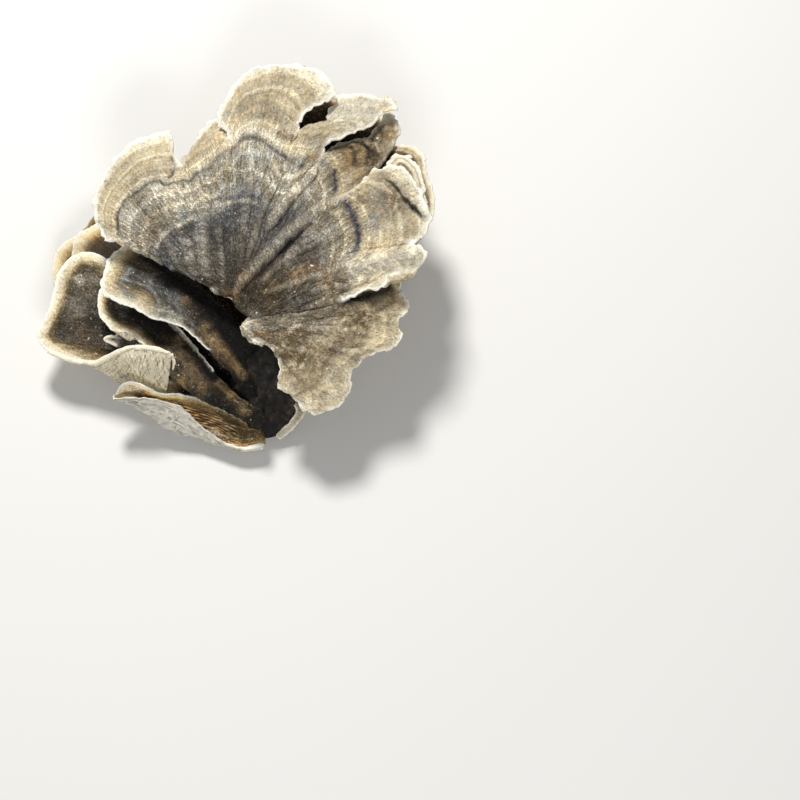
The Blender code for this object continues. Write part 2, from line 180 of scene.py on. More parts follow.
def from_path(points, path, within=np.inf):
    """Distance to a smooth path seen from above, the share of the path at the nearest place,
    and which side of it the point is on: 1 to the left of its direction, -1 to the right.
    Points further than `within` from the path's own box keep an endless distance."""
    flat = smooth_curve(path, evenly(PATH_POINTS))
    near = (points[:, :2] > flat.min(axis=0) - within) & (points[:, :2] < flat.max(axis=0) + within)
    near = near.all(axis=1)
    plan = points[near, :2]
    distance = np.full(len(plan), np.inf)
    place = np.zeros(len(plan))
    side = np.ones(len(plan))
    for k in range(PATH_POINTS):
        start, step = flat[k], flat[k + 1] - flat[k]
        f = np.clip((plan - start) @ step / (step @ step), 0.0, 1.0)
        gap = plan - start - f[:, None] * step
        away = np.hypot(gap[:, 0], gap[:, 1])
        nearer = away < distance
        distance[nearer] = away[nearer]
        place[nearer] = (k + f[nearer]) / PATH_POINTS
        turned = step[0] * (plan[:, 1] - start[1]) - step[1] * (plan[:, 0] - start[0])
        side[nearer] = np.sign(turned[nearer])
    found = np.stack([np.full(len(points), np.inf), np.zeros(len(points)), np.ones(len(points))])
    found[:, near] = distance, place, side
    return found


def within_ends(place, full, closing):
    """Along a path: rises to 1 at the share `full` of it, and falls from the share `closing`."""
    return ease(place, 0.0, full) * (1 - ease(place, closing, 1.0))


def bell(distance, width):
    return np.exp(-((distance / width) ** 2))


def stripe(points, path, width):
    """1 on the path, falling off over `width` to both sides and towards both of its ends."""
    distance, place, _ = from_path(points, path, FADED * width)
    return bell(distance, width) * within_ends(place, 0.12, 0.88)


def crest(points, path, left, right):
    """1 on the path with a sharp crest, falling off over `left` and `right` on its two sides."""
    distance, place, side = from_path(points, path, 2 * FADED * max(left, right))
    return np.exp(-distance / np.where(side > 0, left, right)) * within_ends(place, 0.15, 0.85)


def spot(points, middle, width):
    """1 at a place on the plan, falling off over `width`."""
    return bell(np.linalg.norm(points[:, :2] - np.array(middle), axis=1), width)


def marked(points, marks):
    """The sum of marks, each a (path or place, width, strength), from 0 to 1."""
    total = np.zeros(len(points))
    for where, width, strength in marks:
        shape = spot if np.ndim(where) == 1 else stripe
        total += strength * shape(points, where, width)
    return np.clip(total, 0.0, 1.0)


# %% [markdown]
# ## From surface to sheet
#
# A cap is a closed sheet: an upper face, a lower face with half as many rows and columns, and
# a rounded rim between them. A Solidify modifier would be shorter, but it gives both faces the
# same grid and the rim a hard edge. Here the thickness can also change from the thin margin
# to the thick neck, and the upper face can carry folds that the lower one doesn't have.

# %% Stitching patches and measuring to the free edge
POINTS_AT_ONCE = 4000


def stitched(patches, shared_rows):
    """One set of points for patches that lie side by side, and each patch's table of numbers.

    Patch k shares its first column with the last column of the patch before it, over
    `shared_rows[k - 1]` rows from the neck; beyond them there is a tear.
    """
    tables, start = [], 0
    for k, patch in enumerate(patches):
        table = np.arange(patch.shape[0] * patch.shape[1]).reshape(patch.shape[:2]) + start
        start += table.size
        if k:
            table[: shared_rows[k - 1] + 1, 0] = tables[-1][: shared_rows[k - 1] + 1, -1]
        tables.append(table)
    used, packed = np.unique(np.concatenate([table.ravel() for table in tables]), return_inverse=True)
    points = np.concatenate([patch.reshape(-1, 3) for patch in patches])[used]
    splits = np.cumsum([table.size for table in tables])[:-1]
    tables = [part.reshape(table.shape) for part, table in zip(np.split(packed, splits), tables)]
    return points, tables


def outline_of(tables, shared_rows):
    """The ordered numbers round the sheet, from the neck's first point."""
    parts = [table[0, :-1] for table in tables] + [tables[-1][:-1, -1]]
    for k in range(len(tables) - 1, -1, -1):
        parts.append(tables[k][-1, :0:-1])
        if k:
            parts.append(tables[k][:shared_rows[k - 1]:-1, 0])
            parts.append(tables[k - 1][shared_rows[k - 1]:-1, -1])
    return np.concatenate(parts + [tables[0][:0:-1, 0]])


def distance_to(points, targets):
    """Distance from each point to the nearest of `targets`, a few thousand points at a time:
    the root of the two squared lengths less twice the product of the two points."""
    found = np.empty(len(points))
    target_squares = (targets**2).sum(axis=1)
    for first in range(0, len(points), POINTS_AT_ONCE):
        block = points[first : first + POINTS_AT_ONCE]
        squares = (block**2).sum(axis=1)[:, None] + target_squares - 2 * block @ targets.T
        found[first : first + POINTS_AT_ONCE] = np.sqrt(np.maximum(squares.min(axis=1), 0.0))
    return found


def free_edge_distance(points, tables, shared_rows, side_from=(0.0, 0.0)):
    """Distance in millimetres to the free edge of a point's own patch: its margin, and its
    sides beyond the stretch that it shares with a neighbour. The sheet's two outer sides
    count from the shares `side_from` of the way out."""
    distance = np.full(len(points), np.inf)
    for k, table in enumerate(tables):
        rows = len(table) - 1
        before = shared_rows[k - 1] if k else round(side_from[0] * rows)
        after = shared_rows[k] if k < len(tables) - 1 else round(side_from[1] * rows)
        edge = np.concatenate([table[-1], table[before:, 0], table[after:, -1]])
        numbers = np.unique(table)
        away = distance_to(points[numbers], points[edge])
        distance[numbers] = np.minimum(distance[numbers], away)
    return distance


# %% The sheet as a dictionary of whole arrays


def quads_of(tables, step=1):
    """The corner numbers of every face of the patches, on every `step`-th row and column."""
    found = []
    for table in tables:
        kept = table[::step, ::step]
        corners = [kept[:-1, :-1], kept[:-1, 1:], kept[1:, 1:], kept[1:, :-1]]
        found.append(np.stack(corners, axis=-1).reshape(-1, 4))
    return np.concatenate(found)


def face_normals(corners):
    """Each face's normal, as long as twice its area, from its four corners."""
    return np.cross(corners[:, 2] - corners[:, 0], corners[:, 3] - corners[:, 1])


def point_normals(points, tables):
    """Unit normals: each point's faces, by area, added up."""
    normals = np.zeros_like(points)
    faces = quads_of(tables)
    across_faces = face_normals(points[faces])
    for corner in range(4):
        np.add.at(normals, faces[:, corner], across_faces)
    return unit(normals)


def leaf_sheet(patches, shared_rows, pale_from, zones_from=(0.0, 0.0)):
    """Points, numbering, outline, growth from neck to margin, width across, and the distances
    to the free edge, to its pale stretch and to the stretch that the zones follow. These two
    stretches start on the outer sides at the shares `pale_from` and `zones_from`."""
    points, tables = stitched(patches, shared_rows)
    if face_normals(points[quads_of(tables)])[:, 2].sum() < 0:
        tables = [table[:, ::-1] for table in tables[::-1]]
        shared_rows = tuple(shared_rows)[::-1]
        pale_from, zones_from = pale_from[::-1], zones_from[::-1]
    growth, across = np.zeros(len(points)), np.zeros(len(points))
    for number, table in enumerate(tables):
        rows, columns = table.shape
        growth[table] = evenly(rows - 1)[:, None]
        across[table] = number + evenly(columns - 1)[None, :]
    return {
        "points": points, "tables": tables, "outline": outline_of(tables, shared_rows),
        "growth": growth, "across": across,
        "edge": free_edge_distance(points, tables, shared_rows),
        "rim": free_edge_distance(points, tables, shared_rows, pale_from),
        "reach": free_edge_distance(points, tables, shared_rows, zones_from),
    }


# %% The closed mesh of a sheet
RIM_FULLNESS = 0.8  # of half the thickness, from the outline out to the middle of the rim


def linked(name, data):
    """The object of some data, put in the scene."""
    made = bpy.data.objects.new(name, data)
    bpy.context.scene.collection.objects.link(made)
    return made


def piece_of(name, points, faces, attributes):
    """The object of a closed mesh: points in millimetres, faces that are then turned outwards
    and made smooth, and one attribute for each array."""
    mesh = bpy.data.meshes.new(name)
    mesh.from_pydata(((points - MIDDLE) * MM).tolist(), [], faces)
    for label, values in attributes.items():
        kind, field = ("FLOAT", "value") if values.ndim == 1 else ("FLOAT_VECTOR", "vector")
        layer = mesh.attributes.new(label, kind, "POINT")
        layer.data.foreach_set(field, values.astype(np.float32).ravel())
    bm = bmesh.new()
    bm.from_mesh(mesh)
    bmesh.ops.recalc_face_normals(bm, faces=bm.faces)
    open_edges = sum(not edge.is_manifold for edge in bm.edges)
    bm.to_mesh(mesh)
    bm.free()
    mesh.shade_smooth()
    triangles = sum(len(face.vertices) - 2 for face in mesh.polygons)
    print(f"{name}: {triangles} triangles, {open_edges} open edges")
    return linked(name, mesh)


def closed_sheet(name, sheet, half, relief, attributes):
    """A closed mesh from a sheet: the upper face lies `half` plus `relief` above the sheet
    along its normals, the lower face `half` and its wrinkles below, and a middle row rounds
    the rim. `attributes` are arrays over the sheet's points."""
    points, tables, outline = sheet["points"], sheet["tables"], sheet["outline"]
    normals = point_normals(points, tables)
    upper = points + normals * (half + relief)[:, None]
    lower_numbers, lower_corners = np.unique(quads_of(tables, 2), return_inverse=True)
    below_sheet = half + sheet.get("wrinkles", 0.0)
    lower = points[lower_numbers] - normals[lower_numbers] * below_sheet[lower_numbers][:, None]
    along = np.roll(points[outline], -1, axis=0) - np.roll(points[outline], 1, axis=0)
    outwards = unit(np.cross(along, normals[outline]))
    rim = points[outline] + outwards * (half[outline] * RIM_FULLNESS)[:, None]

    count = len(points)
    ring = np.arange(len(outline)) + count + len(lower)
    below = np.searchsorted(lower_numbers, outline[::2]) + count
    top_band = np.stack([outline, ring, np.roll(ring, -1), np.roll(outline, -1)], axis=1)
    first, second = ring.reshape(-1, 2).T
    bottom_band = np.stack([first, below, np.roll(below, -1), np.roll(first, -1), second], axis=1)
    faces = (
        quads_of(tables).tolist()
        + (lower_corners.reshape(-1, 4)[:, ::-1] + count).tolist()
        + top_band.tolist()
        + bottom_band.tolist()
    )
    sheet["upper"] = upper
    source = np.concatenate([np.arange(count), lower_numbers, outline])
    spread = {label: values[source] for label, values in attributes.items()}
    spread["under"] = np.concatenate([np.zeros(count), np.ones(len(lower)), np.full(len(rim), 0.5)])
    return piece_of(name, np.concatenate([upper, lower, rim]), faces, spread)


def place_piece(piece, node, material):
    """Rides on the one body, stands for its CAD node, and takes its finish."""
    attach(piece, "root")
    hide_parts(node)
    piece.data.materials.append(material)


# %% [markdown]
# ## The skin
#
# All the caps share one skin: a felt that lies outwards, in thin zones that follow the margin,
# with a pale naked rim and a pored underside. Its single hairs are mesh, and come later; its
# specks, zones and fine grain are a node group that gives colour, height and roughness. Each
# cap passes in its own zone colours, and the marks drawn on its plan arrive as attributes.

# %% Small helpers for node trees


class Value:
    """What comes out of a node; sums and products of values are further nodes of its tree."""

    def __init__(self, socket):
        self.socket = socket
        self.tree = socket.id_data

    def __add__(self, other):
        return maths("ADD", self, other)

    def __sub__(self, other):
        return maths("SUBTRACT", self, other)

    def __rsub__(self, other):
        return maths("SUBTRACT", other, self)

    def __mul__(self, other):
        return maths("MULTIPLY", self, other)

    __radd__ = __add__


def feed(socket, value):
    """Links an input to a node's output, or sets it to a plain value."""
    if isinstance(value, Value):
        value.tree.links.new(value.socket, socket)
    else:
        socket.default_value = value


def node(tree, kind, settings=None, output=0, **inputs):
    """One output of a new node. An input is named, or numbered with a _ before the number."""
    made = tree.nodes.new("ShaderNode" + kind)
    for label, value in (settings or {}).items():
        setattr(made, label, value)
    for label, value in inputs.items():
        feed(made.inputs[int(label[1:]) if label[1:].isdigit() else label.replace("_", " ")], value)
    return Value(made.outputs[output])


def joined(kind, settings, numbers, values):
    """A node with numbered inputs, in the tree of the first of its inputs that is a node's."""
    tree = next(value.tree for value in values if isinstance(value, Value))
    return node(tree, kind, settings, **{f"_{k}": value for k, value in zip(numbers, values)})


def maths(operation, *values):
    return joined("Math", {"operation": operation}, range(len(values)), values)


def blend_values(share, first, second):
    return joined("Mix", {"data_type": "FLOAT"}, (0, 2, 3), (share, first, second))


def blend_colours(share, first, second, kind="MIX"):
    made = joined("Mix", {"data_type": "RGBA", "blend_type": kind}, (0, 6, 7), (share, first, second))
    return Value(made.socket.node.outputs[2])


def between(value, low, high, to_low=0.0, to_high=1.0):
    """Maps a value from one range to another, smoothly, and stops at both ends."""
    settings = {"interpolation_type": "SMOOTHSTEP", "clamp": True}
    ends = {"From Min": low, "From Max": high, "To Min": to_low, "To Max": to_high}
    return node(value.tree, "MapRange", settings, Value=value, **ends)


def clamped(value):
    return node(value.tree, "Clamp", Value=value)


def scaled(colour, factor):
    return node(factor.tree, "VectorMath", {"operation": "SCALE"}, _0=colour, Scale=factor)


def grain_noise(vector, scale, detail=2.0, rough=0.6):
    """Noise from 0 to 1 over a vector."""
    return node(vector.tree, "TexNoise", Vector=vector, Scale=scale, Detail=detail, Roughness=rough)


def signed(value, strength):
    """A noise value, from 0 to 1, as a signed one round 0 times a strength."""
    return (value - 0.5) * strength


def signed_sum(*terms):
    return sum(signed(value, strength) for value, strength in terms)


def attribute(tree, name, output="Fac"):
    settings = {"attribute_type": "GEOMETRY", "attribute_name": name}
    return node(tree, "Attribute", settings, output)


def linear(tone):
    """A colour on the screen's scale of 0 to 255 as the shader's linear values."""
    values = np.array(tone) / 255.0
    low, high = values / 12.92, ((values + 0.055) / 1.055) ** 2.4
    return tuple(float(v) for v in np.where(values <= 0.04045, low, high))


def opaque(tone):
    return (*linear(tone), 1.0)


def colour_ramp(value, stops):
    """A ramp through `stops`, which are (place, colour on the screen's scale)."""
    made = node(value.tree, "ValToRGB", Fac=value)
    elements = made.socket.node.color_ramp.elements
    while len(elements) < len(stops):
        elements.new(0.5)
    for element, (place, tone) in zip(elements, stops):
        element.position = place
        element.color = opaque(tone)
    return made


def new_material(name):
    """A material with nodes, and its tree."""
    material = bpy.data.materials.new(name)
    material.use_nodes = True
    return material, material.node_tree


def finish_material(material, colour, roughness, height=None, depth=MM, specular=0.5):
    """Gives the material's shader its colour, its roughness and the bump of a height."""
    inputs = material.node_tree.nodes["Principled BSDF"].inputs
    feed(inputs["Base Color"], colour)
    feed(inputs["Roughness"], roughness)
    feed(inputs["Specular IOR Level"], specular)
    if height:
        feed(inputs["Normal"], node(height.tree, "Bump", Height=height, Strength=1.0, Distance=depth))
    return material


# %% Tones and noises of the felt
HAIR_TONE = (214, 208, 192)
GRIT_TONE = (236, 232, 220)
CREASE_TONE = (142, 120, 86)
# Of these marks, 'dark' is mostly painted shade: the shadows that caps and folds cast, and the shade in gaps,
# grooves and slits. A few of its marks are darker felt.
MARK_TONES = {
    "ash": (140, 142, 140), "brown": (108, 90, 64), "rust": (146, 116, 74), "violet": (62, 60, 70),
    "pale": (230, 222, 202), "dark": (15, 13, 11),
}
WARM_AND_COOL = {
    "inner": ((1.12, 1.0, 0.82, 1.0), (0.93, 0.99, 1.08, 1.0)),
    "outer": ((1.05, 1.0, 0.89, 1.0), (0.98, 1.0, 1.0, 1.0)),
}


def felt_noises(group):
    """The noises that the skin is made of, each from 0 to 1. Over space, a scale counts per
    metre. Over the grain, fibres are drawn about three times as wide near the neck, where the
    narrowing cap would squeeze them, and the streaks are broader than the fibres."""
    place = node(group, "TexCoord", output="Object")
    grain = attribute(group, "grain", "Vector")
    found = SimpleNamespace(place=place, grain=grain)
    found.fine = grain_noise(place, 2300.0, 2.0, 0.7)
    found.coarse = grain_noise(place, 620.0, 3.0)
    found.blotch = grain_noise(place, 150.0, 3.0, 0.55)
    found.specks = grain_noise(place, 1900.0)
    found.grit = grain_noise(place, 1250.0, 0.0)
    near_neck, broad = (
        node(group, "VectorMath", {"operation": "MULTIPLY"}, _0=grain, _1=stretch)
        for stretch in ((0.35, 1.0, 1.0), (0.22, 0.5, 1.0))
    )
    found.fibres = blend_values(
        between(attribute(group, "growth"), 0.25, 0.6),
        grain_noise(near_neck, 1.0, 3.0, 0.65),
        grain_noise(grain, 1.0, 3.0, 0.65),
    )
    found.streaks = grain_noise(broad, 1.0, 3.0)
    along = maths("MULTIPLY_ADD", found.coarse, 0.8, attribute(group, "zone") * 24.0)
    one_line = {"noise_dimensions": "1D"}
    found.rings = node(group, "TexNoise", one_line, W=along, Scale=1.0, Detail=3.0, Roughness=0.7)
    return found


# %% Light, colours and creases of the felt


def felt_light(felt, outer, contrast):
    """Light and dark as powers of two: fine specks and fibres, which fade on the smooth outer
    zones, then thin zones, streaks and blotches all over, with a crack between some zones."""
    light = signed_sum((felt.fine, 5.5), (felt.fibres, 5.0), (felt.coarse, 2.6))
    light = light * blend_values(outer, 1.0, 0.22) + signed(felt.blotch, 1.7)
    light += signed(felt.rings, blend_values(outer, 2.4, 1.9))
    light += signed(felt.streaks, blend_values(outer, 2.4, 0.7))
    crack = between(maths("ABSOLUTE", felt.rings - 0.5), 0.0, 0.03, 0.74, 1.0)
    return maths("POWER", 2.0, light * contrast) * crack


def felt_upper(group, felt, outer, light, given):
    """The upper face's colour: zones, tint, drawn marks, hairs, grit and the naked rim."""
    tint = between(signed_sum((felt.streaks, 0.9), (felt.coarse, 0.6), (felt.fine, 0.9)), -0.14, 0.14)
    inner_tint, outer_tint = (blend_colours(tint, *WARM_AND_COOL[part]) for part in ("inner", "outer"))
    colour = scaled(given["Zones"], light)
    colour = blend_colours(1.0, colour, blend_colours(outer, inner_tint, outer_tint), "MULTIPLY")

    broken = between(felt.coarse, 0.34, 0.60, 0.35, 1.25)
    worn = between(felt.fine, 0.3, 0.7, 0.75, 1.1)
    shade = between(light, 0.3, 2.0, 0.62, 1.6)
    for label, tone in MARK_TONES.items():
        share = attribute(group, label)
        if label != "dark":
            share *= worn if label == "pale" else broken
        colour = blend_colours(clamped(share), colour, scaled(linear(tone), shade))

    # The dark mark, mostly painted shade, also keeps the pale hairs and grit away.
    dark = attribute(group, "dark")
    hairs = between(felt.specks, 0.60, 0.74) * given["Hairs"] * (1.15 - dark)
    colour = blend_colours(hairs, colour, opaque(HAIR_TONE))
    grit = between(felt.grit, 0.81, 0.85) * (1.0 - dark)
    colour = blend_colours(grit, colour, opaque(GRIT_TONE))

    # The naked rim is a pale line that fades inwards, with a width that wanders.
    width = between(felt.coarse, 0.25, 0.75, 0.55, 1.45) * given["Margin Width"]
    inwards = maths("DIVIDE", attribute(group, "rim"), width)
    rim = between(inwards, 0.3, 0.9, 0.62, 0.0) + between(inwards, 0.5, 3.6, 0.38, 0.0)
    return blend_colours(rim, colour, scaled(given["Margin"], between(felt.fine, 0.2, 0.8, 0.80, 1.12)))


CREASE_TURN = 0.75  # radians to either side of the grain


def felt_creases(group, felt, amount):
    """Where creases cross the underside: two noises drawn out on a slant to the grain."""
    strokes = []
    for turn in (CREASE_TURN, -CREASE_TURN):
        slanted = node(group, "Mapping", {"vector_type": "TEXTURE"}, Vector=felt.grain,
                       Rotation=(0.0, 0.0, turn), Scale=(0.16, 1.3, 1.0))
        strokes.append(between(grain_noise(slanted, 1.0, 2.0, 0.5), 0.50, 0.68))
    return clamped(sum(strokes) * between(felt.coarse, 0.35, 0.6) * amount)


# %% The felt group, and a cap's finish
FELT_SOCKETS = {
    "INPUT": {
        "Zones": "Color", "Margin": "Color", "Underside": "Color", "Margin Width": "Float",
        "Hairs": "Float", "Contrast": "Float", "Creases": "Float",
    },
    "OUTPUT": {"Colour": "Color", "Height": "Float", "Roughness": "Float"},
}


def felt_group():
    """The skin as a node group. The underside takes over where the attribute `under` rises."""
    group = bpy.data.node_groups.new("Felt skin", "ShaderNodeTree")
    for way, sockets in FELT_SOCKETS.items():
        for label, kind in sockets.items():
            group.interface.new_socket(name=label, in_out=way, socket_type="NodeSocket" + kind)
    given = {socket.name: Value(socket) for socket in group.nodes.new("NodeGroupInput").outputs}
    result = group.nodes.new("NodeGroupOutput").inputs

    felt = felt_noises(group)
    outer = between(attribute(group, "zone"), 0.55, 0.9)
    light = felt_light(felt, outer, given["Contrast"])
    upper = felt_upper(group, felt, outer, light, given)

    creases = felt_creases(group, felt, given["Creases"])
    pores = node(group, "TexVoronoi", output="Distance", Vector=felt.place, Scale=3600.0)
    pore_light = between(pores, 0.1, 0.6, 1.06, 0.80) * between(felt.coarse, 0.25, 0.75, 0.80, 1.16)
    below = blend_colours(creases, scaled(given["Underside"], pore_light), opaque(CREASE_TONE))
    turned = between(attribute(group, "under"), 0.45, 0.75)
    feed(result["Colour"], blend_colours(turned, upper, below))

    height = signed_sum((felt.fibres, 0.42), (felt.fine, 0.22), (felt.coarse, 0.40), (felt.rings, 0.20))
    height *= blend_values(outer, 1.0, 0.6)
    feed(result["Height"], blend_values(turned, height, felt.coarse * 0.9 - creases * 0.5))
    feed(result["Roughness"], between(felt.coarse, 0.3, 0.7, 0.82, 0.98))
    return group


FELT = felt_group()
print("the felt group has", len(FELT.nodes), "nodes")


def cap_material(name, zones, margin, underside, margin_width, hairs, contrast, creases=0.1):
    """A cap's finish: its own colours over its zones, inside the shared felt."""
    material, tree = new_material(name)
    made = node(
        tree, "Group", {"node_tree": FELT},
        Zones=colour_ramp(attribute(tree, "zone"), zones), Margin=opaque(margin),
        Underside=opaque(underside), Margin_Width=margin_width, Hairs=hairs, Contrast=contrast,
        Creases=creases,
    )
    colour, height, roughness = (Value(socket) for socket in made.socket.node.outputs)
    return finish_material(material, colour, roughness, height, specular=0.25)


# %% [markdown]
# ## Hairs and shreds
#
# Close to, the felt is a fur of short hairs that lie outwards, and where a cap has torn or
# worn, its edge ends in shreds. A hair system would be lost when the model is exported, so both
# are plain mesh: a hair is a three-sided spike of four faces, and a shred is a flattened tube
# along a short path. The hairs take over the colours of the skin that they grow from.

# %% Spikes for hairs
HAIR_RADIUS = 0.055
HAIR_CORNERS = 3
HAIR_LENGTHS = (0.5, 1.3)  # the shortest and the longest, times the length asked for
HAIR_LIFTS = (0.1, 0.4)
HAIR_SWAY = 0.5
HAIR_PALENESS = 0.35
BARE_RIM = 1.2
SPIKE_FACES = np.array([[0, 2, 1], [0, 1, 3], [1, 2, 3], [2, 0, 3]])
STRAIGHT_UP = np.array([0.0, 0.0, 1.0])


def spikes(roots, directions, radius):
    """Points and faces of closed spikes: a triangle round each root and a point at its tip."""
    side = unit(np.cross(directions, STRAIGHT_UP))
    up = unit(np.cross(side, directions))
    turn = 2 * np.pi * np.arange(HAIR_CORNERS)[:, None] / HAIR_CORNERS
    base = roots[:, None] + radius * (np.cos(turn) * side[:, None] + np.sin(turn) * up[:, None])
    points = np.concatenate([base, (roots + directions)[:, None]], axis=1)
    faces = SPIKE_FACES[None] + (HAIR_CORNERS + 1) * np.arange(len(roots))[:, None, None]
    return points.reshape(-1, 3), faces.reshape(-1, 3).tolist()


def felt_hairs(name, sheet, attributes, count, length, seed):
    """Hairs on a sheet's upper face, evenly over its area but for the bare rim: each leans
    outwards, a little to one side and a little up."""
    random = np.random.default_rng(seed)
    faces = quads_of(sheet["tables"])
    corners = sheet["upper"][faces]
    normals = face_normals(corners)
    furry = np.linalg.norm(normals, axis=1) * (sheet["rim"][faces].mean(axis=1) > BARE_RIM)
    chosen = random.choice(len(faces), count, p=furry / furry.sum())
    found, normals = corners[chosen], unit(normals[chosen])
    outwards = unit(found[:, 2] + found[:, 3] - found[:, 0] - found[:, 1])
    a, b = random.random((2, count, 1))
    near, far = (1 - a) * found[:, 0] + a * found[:, 1], (1 - a) * found[:, 3] + a * found[:, 2]
    roots = (1 - b) * near + b * far - 0.5 * HAIR_RADIUS * normals
    sideways = HAIR_SWAY * random.normal(size=(count, 1)) * np.cross(normals, outwards)
    lean = unit(outwards + sideways + random.uniform(*HAIR_LIFTS, (count, 1)) * normals)
    directions = lean * length * random.uniform(*HAIR_LENGTHS, (count, 1))
    points, spike_faces = spikes(roots, directions, HAIR_RADIUS)
    worn = HAIR_PALENESS * random.random(count) ** 2 * (1 - attributes["dark"][faces[chosen, 0]])
    at_hairs = {label: values[faces[chosen]].mean(axis=1) for label, values in attributes.items()}
    at_hairs["pale"] = np.clip(at_hairs.get("pale", 0) + worn, 0, 1)
    spread = {label: values.repeat(HAIR_CORNERS + 1, axis=0) for label, values in at_hairs.items()}
    return piece_of(name, points, spike_faces, spread)


# %% Flattened tubes for shreds
SHRED_RINGS = 12
SHRED_SIDES = 8
SHRED_START, SHRED_STRETCH = 0.25, 0.73  # of a half turn: full at the root, a point at the tip
SHRED_ROUGHNESS = 0.18
INSIDE = 5.0  # millimetres from any rim, so that the naked rim's colour stays off


def tube_faces(table):
    """The faces between the rings of a tube, whose point numbers are the rows of a table."""
    around = np.roll(table, -1, axis=1)
    corners = [table[:-1], around[:-1], around[1:], table[1:]]
    return np.stack(corners, axis=-1).reshape(-1, 4).tolist()


def shreds(name, ribbons, seed, rim=INSIDE):
    """One piece of many shreds, each a (path, width, thickness): ellipses along the path that
    are full near the root and narrow to a point, as the root of a sine, with a little noise."""
    points, faces, start = [], [], 0
    turn = 2 * np.pi * np.arange(SHRED_SIDES)[None, :, None] / SHRED_SIDES
    swell = np.sqrt(np.sin(np.pi * (SHRED_START + SHRED_STRETCH * evenly(SHRED_RINGS))))[:, None, None]
    for path, width, thickness in ribbons:
        centres = smooth_curve(path, evenly(SHRED_RINGS))
        forward = unit(np.gradient(centres, axis=0))
        side = unit(np.cross(forward, STRAIGHT_UP))[:, None]
        up = np.cross(side, forward[:, None])
        section = width * np.cos(turn) * side + thickness * np.sin(turn) * up
        rings = centres[:, None] + 0.5 * swell * section
        table = np.arange(rings.shape[0] * SHRED_SIDES).reshape(-1, SHRED_SIDES) + start
        faces += tube_faces(table) + [table[0, ::-1].tolist(), table[-1].tolist()]
        points.append(rings.reshape(-1, 3))
        start += table.size
    points = np.concatenate(points)
    for axis in range(3):
        points[:, axis] += SHRED_ROUGHNESS * rough_noise(points, 0.9, seed + 7 * axis, 2)
    return piece_of(name, points, faces, {"rim": np.full(len(points), rim)})


# %% [markdown]
# ## The great cap
#
# The great cap is one sheet with seven lobes. As it dried it tore from the margin inwards, and
# the lobes on both sides of a tear drew apart, one above the other. So it is made of seven
# leaves that share their edge points up to the tear and have edges of their own beyond it.

# %% Lines of the great cap
GREAT_CAP_THICKNESS = 2.0
GREAT_CAP_ROWS = 120
GREAT_CAP = {
    "neck": [(0.5, -16, 23), (3, -18.5, 22.5), (5.5, -20.5, 22), (4.5, -21, 21.5), (2.5, -22.5, 21)],
    "left_side": [(-4, -14, 24), (-7.5, -12, 25), (-15, -9, 26), (-25, -4, 27), (-31, -1.5, 27)],
    "front_side": [
        (3, -24, 21), (4.5, -25.5, 21), (7, -26.5, 21), (9, -27, 20.5), (11, -29, 20), (12.5, -33, 19),
        (12, -37, 18.5), (14.5, -39, 18), (18.5, -43, 17.5),
    ],
}
GREAT_TEARS = [
    {
        "start": 0.80,
        "seam": [(-2, -3.5, 24.5), (-8.5, 8, 26), (-13.5, 18.5, 27)],
        "before": [(-14.5, 22.5, 27.5), (-16, 27.5, 28)],
        "after": [(-11.5, 21, 26), (-10.5, 23.5, 26)],
    },
    {
        "start": 0.80,
        "seam": [(1.5, 1.5, 25.5), (0.5, 15, 26.5), (0, 25, 27)],
        "before": [(-0.5, 27.5, 26), (-1.5, 31, 25.5)],
        "after": [(-2, 27.5, 28), (-3.5, 29.5, 28.5), (-4, 31.5, 29)],
    },
    {
        "start": 0.70,
        "seam": [(8, -1.5, 26), (12, 14.5, 27), (16.5, 28, 27.5)],
        "before": [(17, 29.5, 29), (18.5, 32, 29.5), (22, 34, 30), (26.5, 36, 31)],
        "after": [(19.5, 29, 27), (22.5, 29.5, 27), (25, 33.5, 27), (26.5, 37, 28)],
    },
    {
        "start": 0.60,
        "seam": [(11, -4, 25.5), (17.5, 10.5, 26.5), (22.5, 21.5, 27)],
        "before": [
            (25, 24.5, 29), (28.5, 25.5, 29.5), (31.5, 27, 29.5), (35, 28, 30), (38, 31, 30.5),
            (41.5, 33, 31),
        ],
        "after": [(25, 24, 26), (30, 25.5, 26.5), (34, 26, 26.5), (37, 30, 26.5), (39, 33.5, 27)],
    },
    {
        "start": 0.70,
        "seam": [(11, -10, 24), (17, -2, 25.5), (22.5, 5, 27), (27.5, 9, 27.5)],
        "before": [(30.5, 11.5, 27), (34.5, 15.5, 26), (38, 20.5, 26), (40, 24, 26)],
        "after": [(28.5, 9.5, 27.9), (31.5, 11.5, 28.7), (34.5, 14.5, 29.7), (36, 15.5, 30.6)],
    },
    {
        "start": 0.60,
        "seam": [(14, -19.5, 23), (22.5, -18, 24.5), (28.5, -17, 26)],
        "before": [(31, -16.5, 27), (34.5, -15.5, 28.5), (37.5, -15.5, 29), (39.5, -12.5, 29)],
        "after": [(31.5, -15, 25), (35.5, -11.5, 24.5), (39.5, -10.5, 25)],
    },
]

